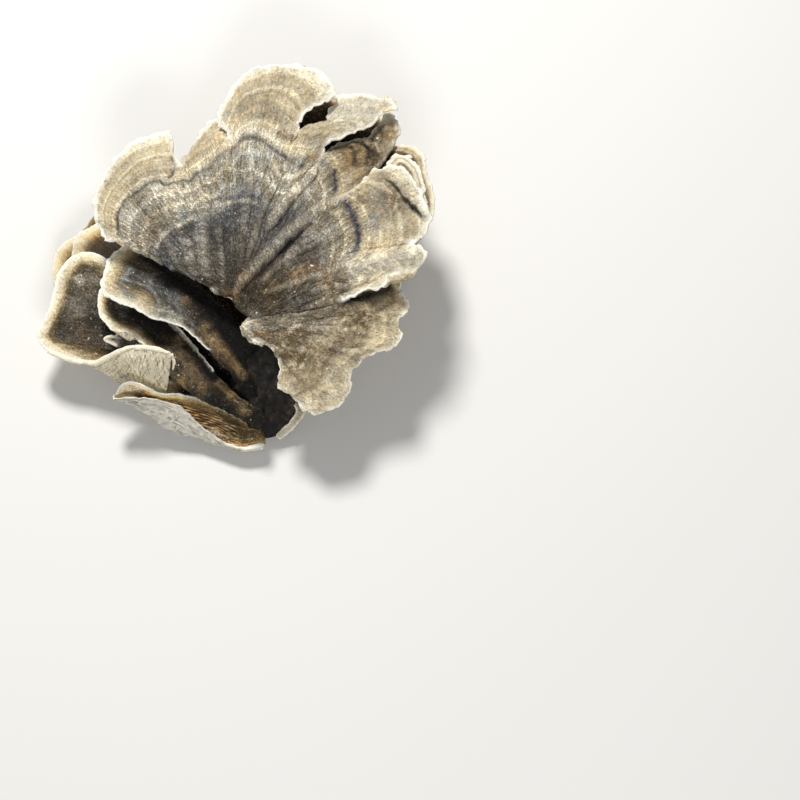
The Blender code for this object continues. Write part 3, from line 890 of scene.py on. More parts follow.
# Each lobe: its stretch of the neck, its number of columns, and its margin.
GREAT_LOBES = [
    (0.00, 0.16, 96, [
        (-33.5, 2.5, 27), (-34.5, 7.5, 27.5), (-33.5, 12.5, 28), (-30, 19, 28), (-27, 23, 28),
        (-21.5, 26, 28),
    ]),
    (0.16, 0.26, 28, [(-10, 25, 26), (-8.5, 27.5, 26), (-5.5, 31, 26), (-4, 32, 26)]),
    (0.26, 0.40, 108, [
        (-2.5, 34.5, 29.5), (0, 39, 30), (3.5, 42.5, 30.5), (9, 44.5, 31), (15, 45, 31), (21, 43.5, 31),
        (25, 39.5, 31),
    ]),
    (0.40, 0.46, 44, [(29, 37, 29), (32.5, 37, 30), (36.5, 36, 30.5), (40, 35, 31)]),
    (0.46, 0.52, 28, [(41, 32, 27), (42.5, 29, 27), (42, 26, 26.5)]),
    (0.52, 0.66, 120, [
        (37.5, 16, 32), (41, 16, 33), (44.5, 14, 33), (47.5, 9.5, 33), (49.5, 4.5, 33), (50, 0.5, 33),
        (48, -3, 32), (45, -4.5, 31.5), (47.5, -5, 31.5), (49, -7.5, 31), (47, -10.5, 30), (43, -11, 29.5),
    ]),
    (0.66, 1.00, 136, [
        (42.5, -12, 25), (43, -15, 25), (45, -18, 24), (43, -21, 24), (42.5, -26, 23), (40.5, -29, 23),
        (36.5, -30, 22.5), (33, -32, 22), (30.5, -36, 21), (30, -39, 20), (28, -42, 18.5), (24.5, -43.5, 18),
        (21.5, -44.5, 17.5),
    ]),
]


def torn_side(root, seam, start, branch, rows):
    """A lobe's side: the shared seam up to `start`, then its own torn edge out to the margin."""
    inner = smooth_curve([root] + seam, rows / start)
    outer = smooth_curve([seam[-1]] + branch, (rows - start) / (1 - start))
    return np.where(rows[:, None] <= start, inner, outer)


def great_cap_patches():
    outwards = evenly(GREAT_CAP_ROWS)
    neck = GREAT_CAP["neck"]
    patches = []
    for number, (first, last, columns, margin) in enumerate(GREAT_LOBES):
        across = evenly(columns)
        roots = smooth_curve(neck, first + (last - first) * across)
        before = smooth_curve([neck[0]] + GREAT_CAP["left_side"], outwards)
        after = smooth_curve([neck[-1]] + GREAT_CAP["front_side"], outwards)
        if number:
            tear = GREAT_TEARS[number - 1]
            before = torn_side(tuple(roots[0]), tear["seam"], tear["start"], tear["after"], outwards)
        if number < len(GREAT_LOBES) - 1:
            tear = GREAT_TEARS[number]
            after = torn_side(tuple(roots[-1]), tear["seam"], tear["start"], tear["before"], outwards)
        edge = smooth_curve([before[-1]] + margin + [after[-1]], across)
        patches.append(blended_leaf(roots, edge, before, after))
    return patches


great_shared = [round(tear["start"] * GREAT_CAP_ROWS) for tear in GREAT_TEARS]
great = leaf_sheet(great_cap_patches(), great_shared, (0.94, 0.2))
print("great cap", len(great["points"]), "points,", len(great["outline"]), "round its outline")

# %% [markdown]
# The zones of the real cap keep step with one dark line that runs through most of the lobes,
# at its own distance from each margin. So growth is rescaled: that line is put at 0.7 of the
# way out, wherever it lies in a lobe, and all the other zones follow.

# %% Zones, folds and marks of the great cap
# Where the dark line crosses each lobe: place across (lobe number plus share), share outwards.
ZONE_LINE = [
    (0.0, 0.86), (0.3, 0.82), (0.6, 0.77), (1.0, 0.70), (1.6, 0.69), (2.0, 0.75), (2.3, 0.67), (2.56, 0.61),
    (2.8, 0.57), (3.5, 0.54), (4.1, 0.59), (4.5, 0.63), (5.0, 0.67), (5.3, 0.62), (5.5, 0.55), (6.0, 0.48),
    (6.3, 0.55), (7.0, 0.66),
]
LINE_GROWTH = 0.7
# Lobes count from 0 at the left side. The shaded lobe lies lower than both its neighbours at the
# right, and the front lobe is the last.
SHADED_LOBE = 4
FRONT_LOBE = 6

line_places, line_shares = np.array(ZONE_LINE).T
line = np.interp(great["across"], line_places, line_shares)
zone = np.where(
    great["growth"] < line,
    LINE_GROWTH * great["growth"] / line,
    LINE_GROWTH + (1 - LINE_GROWTH) * (great["growth"] - line) / (1 - line),
)
# The front lobe is brown nearly to its neck: only its first stretch has the dark felt.
front_lobe = ease(great["across"], FRONT_LOBE - 0.03, FRONT_LOBE + 0.12)
zone = np.maximum(zone, front_lobe * (0.56 + 0.44 * great["growth"] ** 1.5))
zone -= 0.09 * front_lobe * ease(great["growth"], 0.75, 1.0)
zone += 0.012 * rough_noise(great["points"], 9.0, 3)
# The naked rim is narrower on two lobes: the distance to it counts for more there.
shaded_lobe = (great["across"] > SHADED_LOBE) & (great["across"] < SHADED_LOBE + 1)
great["rim"] *= 1 + 0.9 * front_lobe + 1.4 * shaded_lobe

# Sharp folds of the whole sheet: path on the plan, width to the left, width to the right, lift,
# and how pale the worn crest is. That pale is partly wear and partly painted highlight, and the
# same number sets the crest's rust and a painted shadow at its foot.
GREAT_FOLDS = [
    ([(0.5, -16.5), (2.5, -12.7), (5.7, -9.4), (8, -7), (11, -4), (13.5, -1), (16.5, 1.5), (20, 4), (23, 6),
      (26.5, 7.7), (30.5, 9.8)], 1.7, 0.7, 2.2, 0.5),
    ([(9, 0.5), (10.5, 3), (13, 7), (16.5, 11), (19, 14), (22, 17.5)], 1.1, 0.6, 1.3, 0.5),
    ([(8, -15), (13.5, -13.6), (18.5, -12), (25, -11)], 0.8, 0.6, 0.6, 0.3),
    ([(6.5, -13.5), (9.5, -10.5), (13.5, -6.5), (18.5, -4), (23.5, -1.5)], 0.7, 0.5, 0.5, 0.2),
    ([(-1.5, -14), (-2, -8.5), (-2.5, -3), (-3, 4)], 0.6, 0.5, 0.5, 0.15),
    ([(6, 10), (8.5, 12.5), (12, 16), (15, 18.5)], 1.0, 0.5, 0.8, 0.2),
    ([(15, 6), (18.5, 9.5), (22.5, 14), (25.5, 18)], 1.2, 0.8, 0.6, 0.1),
    ([(-6, 13), (-6.5, 8), (-7, 2), (-6.5, -3.5), (-6, -9), (-4.5, -14)], 0.8, 2.2, 1.5, 0.15),
    ([(-11, -1.5), (-10, -5), (-9.5, -8.5), (-8.5, -11.5)], 0.6, 0.6, 0.5, 0.35),
    ([(-12, -9), (-17, 0), (-22, 8), (-25, 12)], 0.7, 1.4, 0.7, 0.1),
    ([(-9, -10.5), (-13, 2), (-15.5, 12)], 0.8, 1.6, 0.7, 0.12),
    ([(2, -11), (3.5, 2), (4.5, 15), (5, 23)], 1.6, 0.7, 0.8, 0.1),
    ([(4, -8), (8, 6), (12.5, 18)], 1.4, 0.6, 0.7, 0.12),
    ([(18, -14), (26, -10), (33, -9)], 0.7, 1.2, 0.5, 0.1),
    ([(14, -28), (20, -30), (27, -33)], 0.8, 1.4, 0.5, 0.1),
    ([(11, -22), (20, -24), (30, -25), (38, -26)], 0.9, 1.6, 0.6, 0.1),
    ([(-14, -4), (-13.5, -7), (-12, -10)], 0.5, 0.5, 0.35, 0.15),
    ([(20, -15), (26, -13.5), (31, -14)], 0.7, 0.7, 0.5, 0.15),
    ([(14, -6), (19, -2.5), (25, 0)], 0.8, 0.5, 0.4, 0.1),
    ([(28.5, -6.5), (35, -5.5), (40, -5.5), (45.5, -4.5)], 0.7, 0.5, -0.9, 0.0),
    ([(8, -25), (14, -23.5), (19.5, -22), (25, -21.5)], 0.9, 0.7, -0.8, 0.0),
    ([(23, -27.5), (27.5, -29), (32.5, -31)], 1.0, 0.8, 0.7, 0.25),
    ([(8, -28), (13, -31), (17, -36), (20, -41)], 0.8, 0.8, -0.4, 0.0),
    ([(22, -25), (24, -32), (25.5, -38)], 0.9, 0.7, 0.4, 0.1),
]
# The right lobe rises in a soft roll along its front margin.
ROLLED_MARGIN = [(26.5, -12), (30, -9.5), (36.5, -8.5), (42.5, -7.5), (48.5, -6.5)]
ROLLED_MARGIN_WIDTH = 2.4
for path, left, right, lift, _ in GREAT_FOLDS:
    great["points"][:, 2] += lift * crest(great["points"], path, left, right)
great["points"][:, 2] += stripe(great["points"], ROLLED_MARGIN, ROLLED_MARGIN_WIDTH)
great["points"][:, 2] += 0.45 * rough_noise(great["points"], 14.0, 11)
print("zone from", zone.min().round(2), "to", zone.max().round(2))

# %% Ragged edges


def roughen_edges(sheet, reach, amount, seed):
    """Moves points near the free edge about in the plan, less and less over `reach`."""
    points = sheet["points"]
    fade = np.exp(-sheet["edge"] / reach)
    for axis in range(2):
        wander = rough_noise(points, 1.8, seed + 5 * axis) + 0.6 * noise(points, 0.8, seed + 30 + axis)
        points[:, axis] += amount * fade * wander


roughen_edges(great, 1.3, 0.55, 21)

# %% The great cap's marks
# A step crosses the left lobe, where its growth stopped and went on; a crease crosses the right
# lobe, which is bent there.
LEFT_STEP = [
    (-28, -1.5), (-28, 5), (-27, 8), (-23, 11), (-20.5, 13.5), (-18, 14), (-17, 13), (-14, 14), (-10, 14.5),
    (-8.5, 16), (-4, 18),
]
RIGHT_CREASE = [(37, 14), (40.5, 12), (42.5, 9), (45, 6), (47, 4), (49, 1)]
# The front lobe is darkened with painted shade under the tongue above it.
UNDER_TONGUE = [(27, -17.2), (30, -16.9), (34, -15.9), (38.5, -14.6), (41.5, -13)]
UNDER_TONGUE_WIDTH = 2.2
GREAT_MARKS = {
    "violet": [
        ([(0.5, 23.2), (2, 24.8), (4.5, 25.4), (7.5, 24.8), (10.5, 22.4), (13.5, 20.2), (16.5, 17.8)],
         0.5, 1.0),
        ([(22, 20), (23, 19), (25, 17.5), (26, 14.5), (26, 9.5)], 0.7, 0.8),
        ([(27, 9), (28, 8.5), (30.5, 5), (32, 1), (32, -5), (31, -8)], 1.0, 0.9),
        ([(31, -8), (29.5, -11), (28.5, -14)], 0.5, 0.45),
        ([(-6, 7.5), (-4, 9), (-0.5, 9.5), (3.5, 9.5), (6.5, 9)], 0.7, 0.6),
        ((-15.5, 0.5), 2.4, 0.35),
        ((17.5, 17.5), 1.0, 0.9), ([(10.5, -5), (13, -2.8), (15.5, -0.5)], 1.6, 0.8),
    ],
    "ash": [
        ([(-5, 26), (0.5, 33), (7, 34.5), (13, 33)], 1.0, 0.35),
        ([(0, 36.5), (6, 39.5), (13, 40), (19, 37)], 0.8, 0.3),
        ((38, 8), 4.0, 0.55), ((36, 2), 3.5, 0.4), ((20, 25), 2.5, 0.4), ((-24, 5), 3.0, 0.35),
        ((-20, 16), 3.0, 0.35),
        ((22, 31.5), 2.5, 0.4), ([(-5.5, 10.5), (0, 12), (6, 11)], 1.4, 0.35), ((26, -24), 3.5, 0.3),
        ([(0, 19.5), (6.5, 20.5), (12, 19)], 2.5, 0.45), ([(3, 30.5), (9, 31.5), (15, 30.5)], 2.4, 0.3),
        ((22.5, 2.5), 3.0, 0.4), ((38, 2.5), 3.5, 0.3),
    ],
    # Mostly painted shade, in the slits and gaps between lobes, in grooves and round the neck; a few of these
    # marks are darker felt.
    "dark": [
        ((10, -16.5), 4.5, 0.5), ([(29, 25.5), (33, 24), (36, 21.5)], 0.5, 0.7),
        ([(32, 26), (34.3, 22.6), (33.8, 17.5)], 0.45, 0.8), ([(30, 24), (31.3, 20.5), (30.6, 17)], 0.4, 0.6),
        ((31, 19), 1.2, 0.4),
        ([(5, -23), (7, -24.8), (9, -26)], 0.7, 0.5),
        ([(10.5, -5.5), (13, -3.5), (15.5, -1)], 1.1, 0.45), ((2, -9), 5.5, 0.35), ((-3, -1), 4.0, 0.2),
        ((-1, 1.5), 3.0, 0.25), ([(37, 30), (38, 27), (37.3, 24)], 0.4, 0.7),
        ([(-15.5, 21), (-14.5, 18.5), (-15, 16), (-16.5, 14.5)], 0.35, 0.9),
        ([(28.5, -6.5), (35, -5.5), (40, -5.5), (45.5, -4.5)], 0.45, 0.5),
        ([(11, 27), (13, 26), (16, 25), (17, 26.5)], 0.3, 0.8),
        ([(22, 21.5), (25, 22.5), (29, 23.5), (31.5, 23)], 0.8, 0.6),
        ([(35, 26.5), (36, 23), (35.5, 19)], 0.5, 0.6),
        ([(8, -25), (14, -23.5), (19.5, -22), (25, -21.5)], 0.8, 0.35),
        ((20, -18.5), 2.2, 0.35), ((28, -17), 2.5, 0.4),
    ],
    "pale": [
        ([(-19, -4.5), (-17.5, -2), (-16, 0.5), (-13.5, 2), (-10.5, 3.5), (-8.5, 5)], 0.5, 0.6),
        ([(-6, 6.5), (-4.5, 8), (-1.5, 8), (2, 8.5), (5, 8.5), (8, 7.5)], 0.6, 0.4),
        ((-13, 2), 0.5, 1.0), ((-10, 4), 0.45, 0.9), ((-4, -14), 0.8, 1.0), ((6, -21.5), 2.0, 0.35),
        ([(13.5, 29), (15, 27), (16, 27.5)], 0.4, 0.9),
        ([(9, 26.5), (12, 28), (15, 29.5), (19, 30)], 0.5, 0.35),
        ((15, 14), 2.5, 0.2), ((-16, 12), 4.0, 0.3),
        ([(28, -10.5), (36.5, -9.5), (42.5, -8.5), (48.5, -7)], 2.6, 0.85),
        ([(-9, 14), (-7.5, 9), (-7.5, 3), (-7, -4), (-6, -11)], 1.3, 0.15),
        ([(0, 26), (2.5, 27.5), (6, 27.4), (9.5, 25.5), (12.5, 22.8)], 1.0, 0.8),
        ([(-0.5, 26), (-1.8, 28.5), (-3.8, 31.5)], 0.5, 0.8),
        # This pale band on lobe 3 is partly its cream colour and partly painted light, where the lobe's tilt
        # leaves it shaded.
        ([(24, 31.5), (30, 32), (36, 33), (40.5, 34)], 3.6, 1.0),
        ([(12.5, -35), (16, -39.5), (22, -42), (26, -40), (29, -36)], 1.2, 0.3),
    ],
    "rust": [
        ([(0.8, -16), (2.8, -12.3), (5.5, -9.6)], 0.7, 0.9),
        ([(-2.5, -13.5), (0.5, -15.5), (2, -17)], 0.7, 0.5),
        ([(19, 18.5), (21.5, 21.5), (24.5, 24.5)], 0.6, 0.8),
        ([(6, -24), (8, -25), (9.5, -25.5)], 0.8, 0.9),
        ([(39.5, -14), (40, -15.5), (40.5, -18)], 1.3, 0.7),
        ([(11, 28), (13.5, 27), (16, 26)], 1.2, 0.6),
        ((17, -11), 2.2, 0.6), ((20, -8.5), 1.8, 0.45), ((25, -12), 1.8, 0.5), ((10, -15), 2.5, 0.45),
        ((28, 18.5), 1.6, 0.85),
        ((-7, 26), 1.4, 0.35), ((-18.5, 0.5), 3.0, 0.2), ((24, 24), 1.2, 0.6), ((32.5, 17), 2.0, 0.3),
        ([(30.5, 26), (33, 23), (32.5, 17)], 0.6, 0.9), ([(28.5, 23.5), (29.8, 20), (29, 16.5)], 0.6, 0.8),
        ([(38.8, 31), (40, 28.5), (39.5, 25)], 1.8, 0.9),
    ],
    "brown": [
        ((30, 20.5), 4.5, 1.0), ((36, 20), 3.0, 0.6), ((37.5, 27), 3.5, 0.8), ((26, 15), 3.5, 0.55),
        ((34, 23), 3.0, 0.8),
        ((-18.5, 0.5), 4.0, 0.5), ((26, -17), 6.0, 0.7), ((14, -26), 6.0, 0.5), ((8, -26.5), 5.0, 0.4),
        ((20, -33), 6.0, 0.3), ((37, -20), 4.0, 0.6), ((10, -13), 7.0, 0.5), ((22, -8), 6.0, 0.45),
        ((41, 7), 4.5, 0.8), ((33, 8), 2.5, 0.5), ((30, 4), 3.5, 0.6), ((24, 3), 3.0, 0.4),
        ((13.5, 25.5), 2.0, 0.5), ((20, 8), 4.0, 0.25), ((5, 14), 3.0, 0.2), ((38, 14), 2.0, 0.4),
        ((16, -30), 5.0, 0.5), ((32, -23), 4.5, 0.65), ((26, -29), 4.5, 0.6), ((18, -25), 3.0, 0.4),
        ((18, -38), 4.0, 0.35), ((3, 34), 3.0, 0.35), ((10, 37), 3.5, 0.3), ((17, 33), 3.0, 0.35),
        ((28, 29), 2.5, 0.4), ((44, -2), 2.5, 0.3), ((23, 22.5), 1.5, 0.5), ((34, 19.5), 2.0, 0.5),
        ((-24, 10), 3.5, 0.25), ((-28, 18), 2.5, 0.3),
    ],
}


EDGE_THICKNESS = 0.36
EDGE_REACH = 2.2  # millimetres from the edge over which a sheet thickens
SKIN_TURNOVER = 0.2  # the share of a point's height that goes into its grain
RIDGE_TURNOVER = 0.05
RIDGE_SHARPNESS = 4
PALE_CREST, PALE_SIDES = 0.9, (0.4, 0.3)
RUST_CREST, RUST_SIDES = 0.5, (0.9, 0.3)
DARK_CREST, DARK_SIDES = 0.8, (0.5, 0.9)
SHADOW_SHIFT = np.array([0.75, -0.75, 0.0])  # the painted shadow at a fold's foot lies to the front right of it


def sheet_half(sheet, thickness):
    """Half the thickness: thin at the free edge, full inside."""
    full, thin = thickness / 2, EDGE_THICKNESS / 2
    return thin + (full - thin) * (1 - np.exp(-sheet["edge"] / EDGE_REACH))


def grain_of(sheet, width, length, turnover=SKIN_TURNOVER):
    """Coordinates for the fibres: close together across, long outwards."""
    drawn = [sheet["across"] * width, sheet["growth"] * length, sheet["points"][:, 2] * turnover]
    return np.stack(drawn, axis=1)


def crinkles(sheet, width, length, seed):
    """Sharp little ridges that run outwards: high where a stretched noise crosses zero."""
    drawn = grain_of(sheet, width, length, RIDGE_TURNOVER)
    return (1 - np.abs(noise(drawn, 1.0, seed))) ** RIDGE_SHARPNESS


plan = great["points"].copy()
great_marks = {label: marked(plan, marks) for label, marks in GREAT_MARKS.items()}
# Each crest gets a pale line, partly wear and partly painted highlight, and some rust; its foot gets a dark
# painted shadow.
for path, *_, worn in GREAT_FOLDS:
    great_marks["pale"] += PALE_CREST * worn * crest(plan, path, *PALE_SIDES)
    great_marks["rust"] += RUST_CREST * worn * crest(plan, path, *RUST_SIDES)
    great_marks["dark"] += DARK_CREST * worn * crest(plan - SHADOW_SHIFT, path, *DARK_SIDES)
wander = np.stack([rough_noise(plan, 2.0, 47), rough_noise(plan, 2.0, 48), np.zeros(len(plan))], axis=1)
step_gap, step_place, step_side = from_path(plan + 0.3 * wander, LEFT_STEP)
step_ends = within_ends(step_place, 0.08, 0.9)
crease_gap, crease_place, crease_side = from_path(plan + 0.6 * wander, RIGHT_CREASE)
crease_ends = within_ends(crease_place, 0.35, 0.93)
# Painted shade: dark lines along the foot of the step and along the crease under the raised lip.
great_marks["dark"] += 0.8 * step_ends * bell(step_gap, 0.4)
great_marks["dark"] += 0.95 * crease_ends * bell(crease_gap, 0.2 + 0.6 * crease_place)
# Painted shade on the front lobe under the tongue.
shaded = stripe(plan, UNDER_TONGUE, UNDER_TONGUE_WIDTH)
great_marks["dark"] += 0.95 * shaded * (great["across"] > FRONT_LOBE)
great_marks["pale"] += 0.5 * step_ends * (step_side > 0) * np.exp(-step_gap / 0.8)
great_marks["pale"] += 0.4 * crease_ends * (crease_side > 0) * np.exp(-crease_gap / 2.5)
great_marks = {label: np.clip(values, 0, 1) for label, values in great_marks.items()}
print("marks", {label: int((values > 0.3).sum()) for label, values in great_marks.items()})

# %% [markdown]
# Where a cap is torn, its pale inner flesh shows: no zones and no felt, only a faint grain.

# %% Torn flesh
torn_flesh = cap_material(
    "torn_flesh",
    [(0.0, (220, 208, 180)), (1.0, (238, 228, 204))],
    (250, 242, 218), (232, 218, 184), 0.4, 0.1, 0.7,
)

# %% The great cap's relief and mesh
relief = 0.4 * step_ends * (step_side < 0) * np.exp(-step_gap / 5.0)
relief += 1.3 * crease_ends * (crease_side > 0) * np.exp(-crease_gap / 4.0)
relief -= 0.2 * great_marks["violet"] + 0.25 * great_marks["dark"]
relief += 0.14 * rough_noise(plan, 2.2, 31) + 0.06 * noise(plan, 0.9, 35)
ridged = crinkles(great, 13.0, 4.0, 41) + 0.6 * crinkles(great, 27.0, 6.0, 43)
relief += 0.28 * ridged * ease(great["growth"], 0.08, 0.3) * (1 - 0.6 * ease(zone, 0.72, 0.9))
broad_ridges = crinkles(great, 2.6, 0.8, 45)
relief += 0.45 * broad_ridges * ease(great["growth"], 0.05, 0.2) * (1 - ease(zone, 0.7, 0.95))

GREAT_ZONES = [
    (0.00, (66, 60, 50)), (0.12, (76, 70, 60)), (0.24, (88, 84, 78)), (0.36, (92, 90, 87)),
    (0.44, (84, 84, 86)), (0.47, (126, 126, 121)), (0.50, (154, 150, 138)), (0.58, (172, 165, 148)),
    (0.66, (182, 174, 155)), (0.685, (182, 174, 155)), (0.70, (150, 142, 130)), (0.72, (224, 212, 182)),
    (0.75, (212, 198, 170)), (0.79, (186, 171, 142)), (0.82, (208, 194, 165)), (0.85, (190, 176, 148)),
    (0.88, (216, 203, 175)), (0.92, (204, 190, 160)), (0.96, (236, 225, 200)), (1.00, (248, 241, 222)),
]
GREAT_HAIRS = 26000
GREAT_HAIR_LENGTH = 0.9
grey_zoned = cap_material("grey_zoned_cap", GREAT_ZONES, (254, 250, 236), (205, 190, 160), 0.6, 0.45, 1.0)
great_attributes = {
    "rim": great["rim"], "growth": great["growth"], "zone": zone, "grain": grain_of(great, 55.0, 18.0),
    **great_marks,
}
great_half = sheet_half(great, GREAT_CAP_THICKNESS)
great_piece = closed_sheet("great_cap_sheet", great, great_half, relief, great_attributes)
place_piece(great_piece, "great_cap", grey_zoned)
great_hairs = felt_hairs(
    "great_cap_hairs", great, great_attributes, GREAT_HAIRS, GREAT_HAIR_LENGTH, 61
)
place_piece(great_hairs, "great_cap", grey_zoned)

# %% Shreds of the great cap's torn edges
TORN_SHREDS = [
    ([(36.4, 32.4, 30.9), (38.2, 34.2, 31), (39.2, 36, 31)], 1.7, 0.5),
    ([(37.6, 32.8, 30.9), (40, 33.8, 31), (41.6, 34.8, 30.9)], 1.6, 0.5),
    ([(38, 32, 30.9), (40.4, 32.4, 31), (42, 32.2, 30.8)], 1.1, 0.4),
    ([(5, -22.8, 20.8), (4.9, -24.8, 20.2), (5.6, -26.4, 19.6)], 1.9, 0.6),
    ([(6.4, -24.4, 20.5), (7, -26, 20), (8, -27.2, 19.6)], 1.6, 0.5),
]
place_piece(shreds("torn_shreds", TORN_SHREDS, 77), "great_cap", torn_flesh)

# %% [markdown]
# ## The smaller caps
#
# The other caps are single leaves. Their zones follow the free edge all round, so they count
# from the edge inwards, in millimetres, and each cap has its own reach. A cap also thickens
# towards its neck, where it runs into the stump.

# %% Lines of the smaller caps
SMALL_CAPS = {
    "under_cap": {
        "neck": [(9, -20, 18), (12, -19.5, 18), (14.5, -22.5, 18)],
        "before": [(2, 4, 19.5), (1, 23, 20.5)],
        "margin": [
            (2.5, 36, 21.5), (7, 42, 22), (14, 44, 22.3), (22, 42, 22.6), (29.5, 38, 23.2), (37, 34.5, 24),
            (39.5, 29.5, 23.5), (40.5, 26, 23.5), (44.5, 24.5, 26.5), (47.5, 22.5, 27.3), (49.5, 15.5, 27.5),
            (51, 9.5, 27.2), (50.5, 5.5, 26.5),
        ],
        "after": [(17.5, -17.5, 19.5), (30, -11, 22), (45, -2.5, 25)],
    },
    "upper_tongue_cap": {
        "neck": [(6, -24.5, 13), (8, -29, 12), (9, -34.5, 10.5), (8.5, -38.5, 10)],
        "before": [(-4, -14.5, 18), (-17, -4, 20.5), (-24.5, -1, 21)],
        "margin": [(-27.5, -1.5, 21.5), (-30.5, -4, 21.5), (-32, -8, 21.5), (-32.5, -11.5, 21.5)],
        "after": [
            (5.5, -37, 13), (2.5, -35.5, 14.5), (-0.5, -32.5, 16), (-4.5, -29, 17.5), (-8, -25.5, 19),
            (-12, -22.5, 20), (-16, -21, 20.5), (-20.5, -20, 21), (-24, -18, 21.5), (-29, -16, 21.5),
            (-31.5, -14.5, 21.5),
        ],
    },
    "lower_tongue_cap": {
        "neck": [(7, -41.5, 10.5), (7.5, -43, 10.3), (7, -44.5, 10)],
        "before": [
            (2, -38.5, 12), (-2.5, -34, 12.8), (-7, -28.5, 14), (-11.5, -23, 14.5), (-18, -16.5, 15.3),
            (-26, -11.5, 16),
        ],
        "margin": [
            (-31, -9.5, 16.5), (-33.5, -11.5, 16.5), (-34, -15, 16.5), (-32.5, -19, 16.3), (-30, -21.5, 16),
        ],
        "after": [(-0.5, -41.5, 9.8), (-8, -38, 10.3), (-15, -32, 11.5), (-22, -25.5, 13.5), (-25, -23, 15)],
    },
    "upper_back_cap": {
        "neck": [(0.5, -27.5, 5.5), (1.5, -30, 5.5), (3, -33, 5.5)],
        "before": [(-19.5, 8, 9)],
        "margin": [(-27, 10, 9.8), (-35, 10, 9.8), (-38, 8.5, 9.5), (-41, 6, 9), (-42, 1.5, 8.5)],
        "after": [(-38.5, -5, 8)],
    },
    "lower_back_cap": {
        "neck": [(1, -30.5, 3.4), (1.5, -33, 3.4), (2.5, -35, 3.4)],
        "before": [(-32.5, 5.5, 6)],
        "margin": [(-38, 7.5, 6.3), (-43.5, 6.5, 6.3), (-46, 4, 6), (-47, 0.5, 5.7), (-47, -4.5, 5.3)],
        "after": [(-42.5, -12, 4.6)],
    },
    "bottom_cap": {
        "neck": [(14, -24, 1.8), (9, -20, 1.8), (3, -21, 1.8), (0, -28, 1.8)],
        "before": [(24.5, -5.5, 1.5), (34.5, 8.5, 1.6)],
        "margin": [
            (35, 18.5, 0.75), (29.5, 25, 1.8), (19, 29.5, 1.5), (8, 31.5, 0.75), (-1, 31.5, 1.6),
            (-10, 31, 1.8), (-19.5, 27, 1), (-28.5, 25, 0.8), (-34, 21, 1.2), (-38.5, 13.5, 1.4),
            (-42, 8.5, 0.8), (-42.5, 2.5, 0.8), (-38.5, -8, 1.2),
        ],
        "after": [(-29.5, -20.5, 1.4)],
    },
    "torn_strip": {
        "neck": [(15, -37.2, 6.8), (17, -36.2, 6.8)],
        "before": [(16.2, -40, 6.3), (14.6, -42.3, 5), (12.6, -44, 3.8), (11, -45.4, 2.5)],
        "margin": [],
        "after": [(18.7, -39.4, 6.2), (17.2, -42, 5), (14.6, -44.5, 3.6), (12.2, -46.2, 2.3)],
    },
    "right_shelf": {
        "neck": [(31.5, 6, 26), (31.5, 3, 26), (31.5, -1, 25.8)],
        "before": [(35.5, 12, 27)],
        "margin": [
            (38.5, 17, 28.4), (40, 19, 29), (42, 20.5, 29.6), (45, 19.5, 30.2), (47, 17, 30.4),
            (48.5, 12.5, 30.4), (49, 7.5, 30), (48.5, 2, 29.2),
        ],
        "after": [(41.5, -2.5, 27.2)],
    },
}
ROLLED_CAP = {
    "neck": [(6.5, -34, 7.5), (7.5, -37, 7.5), (7.5, -40, 7.5)],
    "before": [(-21.5, -6.5, 12)],
    "fold": [
        (-31.5, -4, 13.7), (-35.5, -3, 13.7), (-38.5, -3.5, 13.2), (-41.5, -7, 12.6), (-43, -12.5, 12.1),
        (-45, -17.5, 11.6), (-46.5, -21, 11.3), (-45.5, -23.3, 11), (-42.5, -25.3, 10.6), (-37.5, -27.5, 9.5),
        (-33.5, -29.5, 8.3), (-29, -32, 7), (-24, -34.3, 6.2), (-20.5, -35.2, 5.8), (-16.5, -35.7, 5.6),
    ],
    "rim": [
        (-32.5, -1.5, 14), (-36.5, 0, 14), (-40.5, -0.5, 13.5), (-44.5, -5, 13), (-46, -12, 12.5),
        (-48, -17.5, 12), (-49.5, -22, 12), (-47.5, -25, 11.5), (-43, -27, 11.2), (-37, -28.5, 11),
        (-33, -28.5, 12.5), (-28.5, -27.5, 16), (-24, -27, 18.5), (-19.5, -27.5, 19), (-14.5, -29, 18.5),
    ],
    "after": [(0, -37.3, 7.3), (-8, -35.8, 7)],
}
# Each line of the trough runs from its tip to the stump.
TROUGH_CAP = {
    "far_rim": [
        (-29, -37.5, 13), (-26.5, -35.5, 15.5), (-23.5, -35.5, 15.5), (-20.5, -36.5, 14.5),
        (-17.5, -37, 11.5), (-13.5, -36.5, 9.5), (-9.5, -37, 8.5), (-5.5, -38, 7.6), (-1.5, -40, 6.5),
        (2.5, -41.5, 5.8), (6.5, -43, 5),
    ],
    "bottom": [
        (-29.5, -37.7, 11.6), (-27, -36.7, 10), (-24, -36.9, 9), (-21, -38.2, 8), (-17.5, -39.5, 6.8),
        (-14, -40.2, 5.8), (-10.5, -40.8, 5), (-7, -41.8, 4.5), (-2.5, -43.6, 4.2), (2.5, -45.2, 4),
        (7, -45.2, 4),
    ],
    "outer_fold": [
        (-29.5, -38.6, 11.6), (-26.5, -38.8, 10.5), (-23.5, -39.5, 9), (-21, -41, 6.8), (-17.5, -43, 5),
        (-14, -44.5, 4.3), (-10.5, -45.5, 3.9), (-7, -46.5, 3.7), (-3, -48, 3.6), (2, -49.3, 3.5),
        (7.5, -48, 3.6),
    ],
    "near_rim": [
        (-29, -38.8, 12.8), (-26.5, -38.7, 13), (-23.5, -38.7, 13), (-20, -38.8, 12.6), (-16.5, -39.2, 11),
        (-13, -39.8, 9.8), (-10.5, -41.7, 8), (-7.5, -44, 6), (-3.5, -47, 5), (2.5, -49.5, 4.5),
        (7.5, -48.5, 4.3),
    ],
}
ROLL_RISE = 0.6


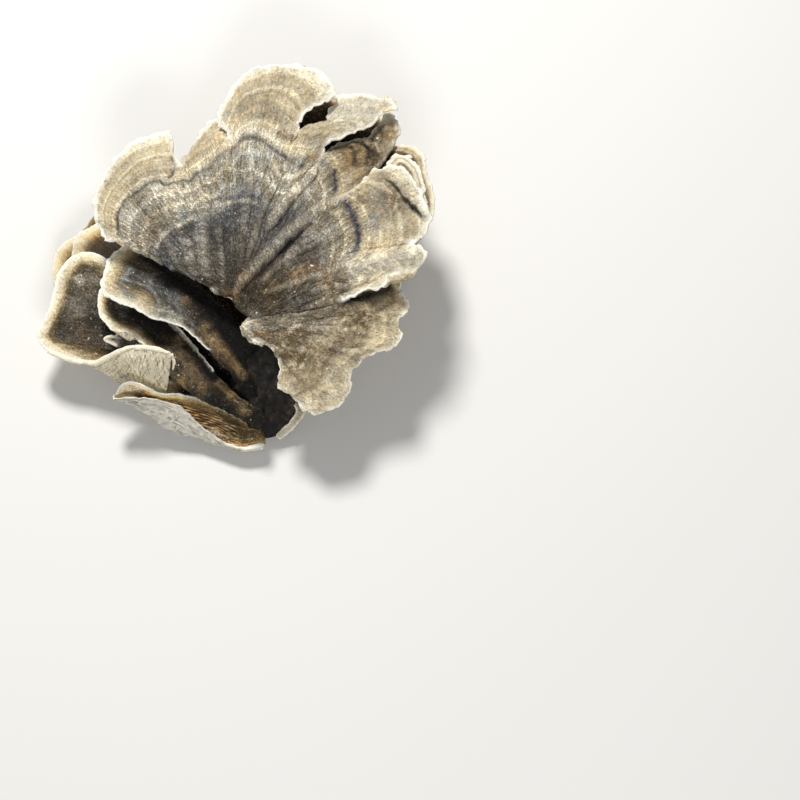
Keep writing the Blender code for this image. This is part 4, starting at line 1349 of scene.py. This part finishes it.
def rolled_patch(cap, leaf_rows, roll_rows, columns):
    """A leaf out to its fold, then rows that stand up from the fold and lean back to the rim:
    a quadratic curve at each column, pulled towards a point above the fold where it is high."""
    across, outwards = evenly(columns), evenly(leaf_rows)
    places = np.arange(len(cap["fold"]), dtype=float)
    fold = smooth_curve(cap["fold"], across, places)
    rim = smooth_curve(cap["rim"], across, places)
    leaf = blended_leaf(
        smooth_curve(cap["neck"], across),
        fold,
        smooth_curve([cap["neck"][0]] + cap["before"] + [cap["fold"][0]], outwards),
        smooth_curve([cap["neck"][-1]] + cap["after"] + [cap["fold"][-1]], outwards),
    )
    height = rim[:, 2] - fold[:, 2]
    rolled = np.clip(height / height.max(), 0.0, 1.0)[:, None]
    lifted = np.stack([np.zeros_like(height), np.zeros_like(height), ROLL_RISE * height], axis=1)
    pull = (fold + rim) / 2 * (1 - rolled) + (fold + lifted) * rolled
    t = evenly(roll_rows)[1:, None, None]
    return np.concatenate([leaf, (1 - t) ** 2 * fold + 2 * t * (1 - t) * pull + t**2 * rim])


def trough_patch(cap, rows, columns):
    """Sections from the far rim round to the near rim, each a smooth curve through four guide
    lines; rows run from the stump to the tip, columns round the section."""
    along, around = evenly(rows), evenly(columns)
    lines = [cap[name] for name in ("far_rim", "bottom", "outer_fold", "near_rim")]
    places = np.arange(len(lines[0]), dtype=float)
    guides = np.stack([smooth_curve(line, along, places) for line in lines])
    sections = [smooth_curve(guides[:, row], around) for row in range(rows + 1)]
    return np.stack(sections[::-1])


# %% What the smaller caps have in common
CAP_THICKNESS = 1.4
CAP_HAIR_LENGTH = 0.8
NECK_REACH = 0.12  # the share of the growth over which a thickened neck thins out
TIP_ZONE = 0.95  # the zone of the margin, which a whole tip may take
# Painted shade darkens everything nearly to black in the gap where the caps meet.
GAP_MIDDLE = np.array([7.0, -31.0])
GAP_REACH = np.array([12.5, 13.0])
GAP_SHADE_STRENGTH = 1.5
RUST_LIFTS_GAP_SHADE = 1.8  # how much of this painted shade the rust marks take away


def make_cap(name, node_name, material, patch, reach, seed, thickness=CAP_THICKNESS, waves=0.25,
             ragged=0.25, neck_swell=0.8, grain=(40.0, 14.0), pale_from=(0.0, 0.0), zones_from=None,
             thinning=1.0, marks=None, tip_from=None, ridges=0.22, hairs=0, wrinkled=0.0):
    """One single-leaf cap: waves, ragged edge, zones from the edge inwards, relief and marks.

    `reach` is how far inwards the zones go, in millimetres. The pale rim is `thinning` times as
    wide near the neck as at the tip, and it starts at the shares `pale_from` of the two sides,
    as the zones do at `zones_from`. `marks` has the lists of marks for `marked`. Between the two
    shares `tip_from` of the way out, the zones give way to the margin's. `hairs` is their
    number, and `wrinkled` is how deeply the lower face is wrinkled.
    """
    sheet = leaf_sheet([patch], (), pale_from, zones_from or pale_from)
    sheet["points"][:, 2] += waves * rough_noise(sheet["points"], 8.0, seed + 50)
    roughen_edges(sheet, 1.0, ragged, seed + 60)
    points, growth = sheet["points"], sheet["growth"]
    zone = 1 - np.clip(sheet["reach"] / reach, 0, 1) + 0.02 * rough_noise(points, 5.0, seed + 70)
    if tip_from:
        zone = np.maximum(zone, TIP_ZONE * ease(growth, *tip_from))
    half = sheet_half(sheet, thickness) + neck_swell * np.exp(-growth / NECK_REACH)
    relief = 0.12 * rough_noise(points, 1.8, seed + 80)
    sheet["wrinkles"] = wrinkled * rough_noise(points, 1.8, seed + 95) * ease(sheet["edge"], 0.2, 1.2)
    relief += ridges * crinkles(sheet, 11.0, 3.5, seed + 90) * ease(sheet["edge"], 0.3, 2.5)
    gap = np.linalg.norm((points[:, :2] - GAP_MIDDLE) / GAP_REACH, axis=1)
    attributes = {label: marked(points, found) for label, found in (marks or {}).items()}
    # Painted shade in the gap where the caps meet, less where rust is marked.
    gap_shade = GAP_SHADE_STRENGTH * np.exp(-(gap**2)) - RUST_LIFTS_GAP_SHADE * attributes.get("rust", 0)
    attributes["dark"] = np.clip(attributes.get("dark", 0) + gap_shade, 0, 1)
    attributes |= {
        "rim": sheet["rim"] / (thinning + (1 - thinning) * ease(growth, 0.2, 0.9)),
        "growth": growth, "zone": zone, "grain": grain_of(sheet, *grain),
    }
    place_piece(closed_sheet(name, sheet, half, relief, attributes), node_name, material)
    if hairs:
        fur = felt_hairs(name.replace("sheet", "hairs"), sheet, attributes, hairs, CAP_HAIR_LENGTH, seed)
        place_piece(fur, node_name, material)


# %% Finishes of the smaller caps
dark_velvet = cap_material(
    "dark_velvet_cap",
    [(0.0, (44, 40, 34)), (0.30, (56, 52, 46)), (0.45, (72, 68, 62)), (0.56, (58, 52, 43)),
     (0.66, (100, 84, 58)), (0.74, (176, 157, 120)), (0.82, (226, 211, 178)), (0.90, (244, 234, 208)),
     (1.0, (252, 247, 230))],
    (253, 249, 236), (255, 244, 214), 0.5, 0.45, 0.85, 0.55,
)
grey_tongue = cap_material(
    "grey_tongue_cap",
    [(0.0, (54, 46, 37)), (0.14, (72, 62, 50)), (0.28, (96, 90, 82)), (0.40, (78, 76, 72)),
     (0.46, (122, 122, 118)), (0.51, (82, 80, 76)), (0.58, (90, 86, 80)), (0.62, (134, 133, 127)),
     (0.66, (86, 80, 67)), (0.72, (136, 121, 92)), (0.80, (182, 166, 133)), (0.88, (229, 215, 185)),
     (1.0, (250, 246, 230))],
    (254, 251, 238), (196, 183, 155), 0.6, 0.5, 0.75,
)
golden = cap_material(
    "golden_cap",
    [(0.0, (60, 52, 42)), (0.35, (84, 72, 58)), (0.50, (122, 104, 78)), (0.62, (184, 162, 124)),
     (0.78, (236, 218, 180)), (1.0, (252, 241, 214))],
    (252, 244, 222), (170, 150, 118), 0.5, 0.15, 0.4,
)
brown_zoned = cap_material(
    "brown_zoned_cap",
    [(0.0, (44, 36, 28)), (0.30, (56, 46, 36)), (0.45, (76, 62, 46)), (0.52, (56, 46, 36)),
     (0.62, (96, 80, 56)), (0.70, (74, 60, 44)), (0.80, (112, 92, 64)), (0.85, (196, 178, 144)),
     (0.90, (142, 121, 88)), (0.95, (216, 200, 168)), (1.0, (230, 216, 186))],
    (246, 238, 216), (150, 130, 98), 0.7, 0.4, 0.8,
)
dark_brown = cap_material(
    "dark_brown_cap",
    [(0.0, (38, 31, 24)), (0.30, (50, 41, 31)), (0.42, (82, 67, 48)), (0.48, (48, 38, 29)),
     (0.60, (86, 70, 49)), (0.66, (54, 43, 32)), (0.76, (102, 84, 58)), (0.82, (66, 53, 38)),
     (0.90, (116, 95, 66)), (1.0, (150, 126, 88))],
    (172, 148, 108), (150, 130, 98), 0.5, 0.3, 0.8,
)
pale_zoned = cap_material(
    "pale_zoned_cap",
    [(0.0, (130, 112, 84)), (0.50, (150, 130, 98)), (0.66, (214, 198, 164)), (0.71, (118, 96, 66)),
     (0.77, (228, 214, 184)), (0.84, (236, 224, 196)), (0.88, (128, 106, 74)), (0.92, (240, 230, 206)),
     (1.0, (248, 240, 220))],
    (252, 246, 230), (200, 184, 152), 0.8, 0.3, 0.6,
)
fibrous = cap_material(
    "fibrous_cap",
    [(0.0, (106, 88, 62)), (0.35, (138, 116, 82)), (0.62, (164, 132, 84)), (0.78, (226, 194, 134)),
     (0.88, (254, 230, 168)), (1.0, (255, 242, 204))],
    (253, 249, 236), (252, 247, 232), 0.5, 0.4, 1.3, 0.45,
)

# %% Marks of the smaller caps
UPPER_TONGUE_MARKS = {
    "brown": [([(-9, -21), (-4, -26), (1, -31.5), (7, -35)], 4.0, 0.9), ((-11.5, -15), 1.5, 0.7)],
    "rust": [
        ((-11.5, -15), 1.0, 0.5), ((-6, -22), 1.2, 0.3),
        ([(-6.5, -23.5), (-4, -26), (-1, -28.5), (1.5, -31.5), (4.5, -35)], 1.6, 0.5),
    ],
    "ash": [
        ([(-24.5, -6), (-26.5, -9.5), (-27, -12), (-26, -14.5), (-23, -15.5)], 0.7, 0.9),
        ([(-17.5, -7), (-20, -9.5), (-20.5, -11.5), (-20, -14)], 0.8, 0.7), ((-23, -11), 1.5, 0.3),
        ([(-13, -13), (-14, -16), (-12.5, -19)], 0.7, 0.5), ([(-17, -17), (-9, -22), (-2, -30)], 0.5, 0.5),
    ],
    "pale": [([(-22.5, -17.5), (-16.5, -18.5), (-11.5, -21.5)], 1.0, 0.5)],
    # The first, wide band is a painted shadow cast by the great cap's front edge; the two small marks are
    # darker felt.
    "dark": [
        ([(-28, -1.5), (-20, -5.5), (-12, -11), (-4, -17.5), (2, -23), (7, -27), (11, -31)], 3.3, 1.0),
        ([(-23, -7), (-24.3, -10), (-24, -13)], 0.6, 0.35), ((-16.5, -12), 1.6, 0.4),
    ],
}
LOWER_TONGUE_MARKS = {
    "brown": [([(-19, -22), (-10.5, -29), (-3, -36)], 5.0, 0.8)],
    "rust": [
        ((-12.5, -34.5), 1.6, 0.8), ((-7, -35), 1.2, 0.4),
        ([(-4, -33), (-1, -36.5), (2, -39), (5, -43)], 1.6, 0.5),
    ],
    # Painted shadow, where the upper tongue shades this one and towards the dark gap at its neck.
    "dark": [([(-27, -16), (-20, -19), (-13, -23)], 3.0, 0.9), ([(-13, -24), (-6, -31), (0, -38)], 1.6, 0.6)],
}
ROLLED_CAP_MARKS = {
    "pale": [
        ([(-40, -5.5), (-39.5, -7), (-38, -8)], 1.2, 0.35), ((-36, -7), 3.0, 0.15), ((-40, -14), 3.0, 0.15),
    ],
    "brown": [((-37.5, -8.5), 4.0, 0.45), ((-38, -23), 4.0, 0.5), ((-40, -17), 3.0, 0.3)],
    # Painted shade, where the tongues above shade this cap.
    "dark": [([(-26, -6), (-24, -13), (-24, -20)], 4.0, 0.5)],
}
TROUGH_MARKS = {
    "pale": [
        # The pale spot at the tip is partly its pale colour and partly painted light in the shaded hollow of
        # the trough.
        ((-26.5, -36.4), 2.3, 0.85), ((-23.5, -36), 1.6, 0.4),
        ([(-16, -40.5), (-8, -43.5), (0, -46.5)], 0.4, 0.7),
    ],
    "rust": [
        ((-20.5, -37.5), 1.2, 0.4), ((-17, -39), 1.5, 0.4),
        ([(-12, -38), (-6, -40.5), (0.5, -44.5)], 0.8, 0.5),
    ],
    "brown": [
        ([(-17, -39), (-6, -42), (5, -46)], 2.6, 0.5),
        ([(-17, -35.4), (-12, -37), (-4, -40), (4, -43.5)], 1.0, 0.5),
    ],
}

# %% The smaller caps themselves
make_cap("under_cap_sheet", "under_cap", brown_zoned,
         leaf_patch(SMALL_CAPS["under_cap"], 90, 240), 12.0, seed=100, waves=0.4, ragged=0.5, hairs=8000)
make_cap("right_shelf_sheet", "right_shelf", pale_zoned,
         leaf_patch(SMALL_CAPS["right_shelf"], 60, 160), 9.0, seed=200, waves=0.2, ragged=0.5)
make_cap("upper_tongue_sheet", "upper_tongue_cap", grey_tongue,
         leaf_patch(SMALL_CAPS["upper_tongue_cap"], 150, 96), 17.0, seed=300, pale_from=(0.92, 0.40),
         zones_from=(0.90, 0.84), thinning=0.22, marks=UPPER_TONGUE_MARKS, hairs=6000)
make_cap("lower_tongue_sheet", "lower_tongue_cap", dark_velvet,
         leaf_patch(SMALL_CAPS["lower_tongue_cap"], 150, 64), 8.0, seed=400, pale_from=(0.35, 0.85),
         zones_from=(0.85, 0.85), thinning=0.2, marks=LOWER_TONGUE_MARKS, hairs=4500)
make_cap("rolled_cap_sheet", "rolled_cap", dark_velvet,
         rolled_patch(ROLLED_CAP, 120, 50, 200), 10.0, seed=500, pale_from=(0.8, 0.75),
         marks=ROLLED_CAP_MARKS, hairs=8000, wrinkled=0.22)
make_cap("narrow_rolled_sheet", "narrow_rolled_cap", fibrous,
         trough_patch(TROUGH_CAP, 130, 70), 5.0, seed=600, waves=0.1, marks=TROUGH_MARKS,
         tip_from=(0.70, 0.92), grain=(34.0, 5.0), wrinkled=0.35, thinning=0.3)
make_cap("upper_back_sheet", "upper_back_cap", golden,
         leaf_patch(SMALL_CAPS["upper_back_cap"], 110, 110), 8.0, seed=700, ridges=0.12)
make_cap("lower_back_sheet", "lower_back_cap", golden,
         leaf_patch(SMALL_CAPS["lower_back_cap"], 110, 90), 8.0, seed=800, ridges=0.12)
make_cap("bottom_cap_sheet", "bottom_cap", dark_brown,
         leaf_patch(SMALL_CAPS["bottom_cap"], 90, 260), 12.0, seed=900, waves=0.12, neck_swell=0.0,
         hairs=8000)
make_cap("torn_strip_sheet", "torn_strip", torn_flesh,
         leaf_patch(SMALL_CAPS["torn_strip"], 40, 10), 3.0, thickness=1.0, seed=950, waves=0.05,
         neck_swell=0.0, grain=(4.0, 3.0), ridges=0.1)

# %% Lips, strands and a small lobe
ROLL_LIP = [
    ([(-46.5, -25.6, 11.4), (-43, -27.2, 11.2), (-39.5, -28.2, 11), (-37, -28.7, 11),
      (-34.5, -28.9, 11.8)], 1.5, 0.9),
    ([(-37.5, -28.6, 11), (-34, -28.9, 12), (-31, -28.2, 14.2), (-28.5, -27.6, 16.2), (-25, -27, 18.2),
      (-21.5, -27.1, 18.9)], 1.4, 1.0),
    ([(-24, -27.2, 18.6), (-20.5, -27.4, 19), (-17, -28.1, 18.9), (-14.6, -29, 18.5)], 1.5, 1.0),
    ([(-20.5, -27.9, 18.6), (-18, -29.2, 17.8), (-15.6, -30.6, 16.8)], 1.5, 0.6),
    ([(-14.6, -28.8, 18.6), (-14.2, -30.4, 17), (-14.6, -32, 15)], 0.9, 0.7),
]
STRAND_STOPS = [
    (0.35, (66, 49, 31)), (0.46, (150, 108, 60)), (0.54, (206, 172, 118)), (0.64, (240, 226, 192)),
]
STRAND_COUNT = 6
TROUGH_STRANDS = [
    ([(-17, -38.6 - 0.55 * k, 8.2 - 0.5 * k), (-10, -39.6 - 0.65 * k, 7 - 0.35 * k),
      (-2, -42 - 0.7 * k, 5.7 - 0.15 * k), (4 - k, -44 - 0.6 * k, 5.4)], 0.5, 0.4)
    for k in range(STRAND_COUNT)
]
FINGER_LOBE = {
    "neck": [(-21.8, -26.2, 14.3), (-21.9, -25.5, 14.6), (-22.4, -24.8, 14.4)],
    "before": [(-24.5, -26.4, 14.6), (-27.8, -25.9, 14.9), (-30.5, -24.8, 14.7)],
    "margin": [(-32.1, -23.8, 14.6)],
    "after": [(-24.8, -23.4, 14.5), (-27.8, -22.5, 14.7), (-30.5, -22.6, 14.6)],
}
BESIDE_LOBE = [
    ([(-23.4, -24.2, 14.8), (-22.2, -25, 15.2), (-21.6, -26.2, 15), (-21.9, -27.2, 14.4)], 0.8, 0.7)
]


def strand_material():
    """Wet-looking brown strands beside pale dry ones: a ramp over a noise along the trough."""
    material, tree = new_material("trough_strands")
    place = node(tree, "TexCoord", output="Object")
    drawn = node(tree, "Mapping", Vector=place, Rotation=(0.0, 0.0, 0.3), Scale=(0.25, 1.6, 1.0))
    strands = grain_noise(drawn, 900.0, 3.0)
    colour = colour_ramp(strands, STRAND_STOPS)
    return finish_material(material, colour, 0.85, strands, 0.4 * MM)


place_piece(shreds("roll_lip", ROLL_LIP, 81, 0.0), "rolled_cap", torn_flesh)
strands_piece = shreds("trough_strands", TROUGH_STRANDS, 91)
place_piece(strands_piece, "narrow_rolled_cap", strand_material())
make_cap("finger_lobe_sheet", "lower_tongue_cap", dark_velvet,
         leaf_patch(FINGER_LOBE, 50, 24), 2.4, thickness=1.0, seed=970, waves=0.1, neck_swell=0.0,
         pale_from=(0.85, 0.85), ridges=0.1)
place_piece(shreds("hooked_shred", BESIDE_LOBE, 95, 0.0), "lower_tongue_cap", torn_flesh)

# %% [markdown]
# ## The stump
#
# The caps leave a corky lump, cut off flat below. It is a turned shape whose plan changes with
# height, roughened by furrows; the cut face is drawn as the rings of a disc, so that the whole
# is one closed skin.

# %% The corky stump
# Each level: height, the middle of the plan there, and its radius along x and y.
STUMP_LEVELS = [
    (0, 7.5, -31, 11.4, 14.3), (2.5, 7.5, -31, 11.6, 14.6), (5, 7.5, -31, 11.2, 14.2), (9, 8, -30, 10, 12.6),
    (13, 9.5, -28, 8.6, 10), (17, 11, -24.5, 6.8, 7.2), (20, 12, -22.5, 5, 5.4), (21.5, 12.3, -21.8, 2.8, 3),
]
LEVEL_SPACING = 0.3  # added between levels, so that the nearly flat top gets rows too
STUMP_SIDES = 180
STUMP_ROWS = 90
CUT_RINGS = 24
CUT_EDGE = 6  # rows over which the furrows start above the cut
CORK_STOPS = [(0.30, (8, 7, 6)), (0.50, (21, 17, 14)), (0.60, (40, 33, 25)), (0.74, (86, 70, 50))]
SHADE_ENDS_X = (0.008, 0.016)  # metres: the painted shade of the gap fades out between these places rightwards
SHADE_ENDS_Y = (-0.028, -0.016)  # and between these backwards
UNSHADED = 2.5  # how much brighter than the painted shade bare cork gets
DRAWN_UP = 0.35  # the share of height in the noises, so that furrows and cork run upwards


def stump_piece():
    """Rings round a leaning axis: radius from the levels, less furrows; the cut's rings shrink
    to its middle, and the top closes on one point."""
    levels = np.array(STUMP_LEVELS, dtype=float)
    side = smooth_curve(levels, evenly(STUMP_ROWS), levels[:, 0] + np.arange(len(levels)) * LEVEL_SPACING)
    cut = np.repeat(side[:1], CUT_RINGS, axis=0)
    cut[:, 3:] *= evenly(CUT_RINGS)[1:, None]
    rings = np.concatenate([cut, side[1:]])[:, None]
    turn = 2 * np.pi * np.arange(STUMP_SIDES) / STUMP_SIDES
    outwards = np.zeros((len(rings), STUMP_SIDES, 3))
    outwards[..., 0] = rings[..., 3] * np.cos(turn)
    outwards[..., 1] = rings[..., 4] * np.sin(turn)
    points = (outwards + rings[..., [1, 2, 0]]).reshape(-1, 3)
    on_side = ease(np.arange(len(rings)), CUT_RINGS - 1, CUT_RINGS + CUT_EDGE).repeat(STUMP_SIDES)
    drawn = points * np.array([1.0, 1.0, DRAWN_UP])
    depth = 1.1 * rough_noise(drawn, 4.0, 5) + 0.7 * rough_noise(drawn, 1.3, 9, 2) - 0.9
    points += unit(outwards.reshape(-1, 3)) * (depth * on_side)[:, None]
    table = np.arange(len(points)).reshape(len(rings), STUMP_SIDES)
    around = np.roll(table, -1, axis=1)
    faces = tube_faces(table)
    count = len(points)
    for first, second, end in ((around[0], table[0], count), (table[-1], around[-1], count + 1)):
        faces += np.stack([first, second, np.full(STUMP_SIDES, end)], axis=1).tolist()
    ends = np.array([[side[0, 1], side[0, 2], 0.0], [side[-1, 1], side[-1, 2], side[-1, 0]]])
    return piece_of("stump_body", np.concatenate([points, ends]), faces, {})


def stump_material():
    """Cork in a ramp over noise, darkened nearly to black by painted shade in the gap between the caps
    and left brown at the back and on the right."""
    material, tree = new_material("corky_stump")
    place = node(tree, "TexCoord", output="Object")
    cork = grain_noise(node(tree, "Mapping", Vector=place, Scale=(1.0, 1.0, DRAWN_UP)), 420.0, 5.0, 0.65)
    fine = grain_noise(place, 2200.0)
    colour = colour_ramp(cork, CORK_STOPS)
    # Painted shade: darkest in the gap between the caps, fading out rightwards and backwards.
    rightwards = between(node(tree, "SeparateXYZ", output="X", Vector=place), *SHADE_ENDS_X)
    backwards = between(node(tree, "SeparateXYZ", output="Y", Vector=place), *SHADE_ENDS_Y)
    unshaded = maths("MULTIPLY_ADD", maths("MAXIMUM", rightwards, backwards), UNSHADED, 1.0)
    brightness = between(fine, 0.25, 0.75, 0.7, 1.25) * unshaded
    height = maths("MULTIPLY_ADD", fine, 0.2, cork * 0.8)
    return finish_material(material, scaled(colour, brightness), 0.95, height)


place_piece(stump_piece(), "stump", stump_material())

# %% [markdown]
# ## Floor, light and camera
#
# The cluster is looked at steeply from above on a pale floor. A small strong lamp, high at the
# back, gives the soft shadow that falls towards the front. A wide weak one in front and a pale
# sky keep the shaded sides from going black.

# %% Floor and light
FLOOR_HALF = 1.5
FLOOR_CORNERS = [(-1, -1, 0), (1, -1, 0), (1, 1, 0), (-1, 1, 0)]
FLOOR_COLOUR = (0.75, 0.74, 0.72, 1.0)
FLOOR_ROUGHNESS = 0.6
SKY_COLOUR = (0.95, 0.97, 1.0, 1.0)
SKY_STRENGTH = 0.22
# Each lamp: name, place in metres, width, power and tint.
LAMPS = [
    ("window", (-0.12, 0.48, 0.64), 0.18, 6.9, (1.0, 0.985, 0.955)),
    ("front_fill", (0.06, -0.66, 0.54), 0.30, 2.8, (1.0, 0.99, 0.97)),
]


def make_floor():
    mesh = bpy.data.meshes.new("floor")
    mesh.from_pydata((FLOOR_HALF * np.array(FLOOR_CORNERS)).tolist(), [], [(0, 1, 2, 3)])
    material, _ = new_material("pale_floor")
    mesh.materials.append(finish_material(material, FLOOR_COLOUR, FLOOR_ROUGHNESS))
    floor = linked("floor", mesh)


def make_lamp(name, place, size, power, tint):
    light = bpy.data.lights.new(name, "AREA")
    light.shape = "DISK"
    light.size = size
    light.energy = power
    light.color = tint
    lamp = linked(name, light)
    lamp.location = place
    lamp.rotation_euler = (-Vector(place)).to_track_quat("-Z", "Y").to_euler()


make_floor()
for lamp_facts in LAMPS:
    make_lamp(*lamp_facts)
world = bpy.data.worlds.new("pale_sky")
world.use_nodes = True
background = world.node_tree.nodes["Background"].inputs
feed(background["Color"], SKY_COLOUR)
feed(background["Strength"], SKY_STRENGTH)
bpy.context.scene.world = world
print("lamps", [name for name, *_ in LAMPS])

# %% Camera
CAMERA_AIM = np.array([41.8, -32.5, 0.0]) * MM
CAMERA_DISTANCE = 0.650
CAMERA_ELEVATION = np.radians(72.0)
PIXELS_PER_MM = 3.9
PICTURE_PIXELS = 800
SENSOR = 36.0

looking = np.array([0.0, np.cos(CAMERA_ELEVATION), -np.sin(CAMERA_ELEVATION)])
camera = linked("camera", bpy.data.cameras.new("camera"))
camera.data.sensor_width = SENSOR
camera.data.lens = SENSOR * PIXELS_PER_MM * CAMERA_DISTANCE / MM / PICTURE_PIXELS
camera.location = CAMERA_AIM - looking * CAMERA_DISTANCE
camera.rotation_euler = Vector(looking).to_track_quat("-Z", "Y").to_euler()
bpy.context.scene.camera = camera
bpy.context.scene.view_settings.view_transform = "Standard"
print("camera lens", round(camera.data.lens, 1))
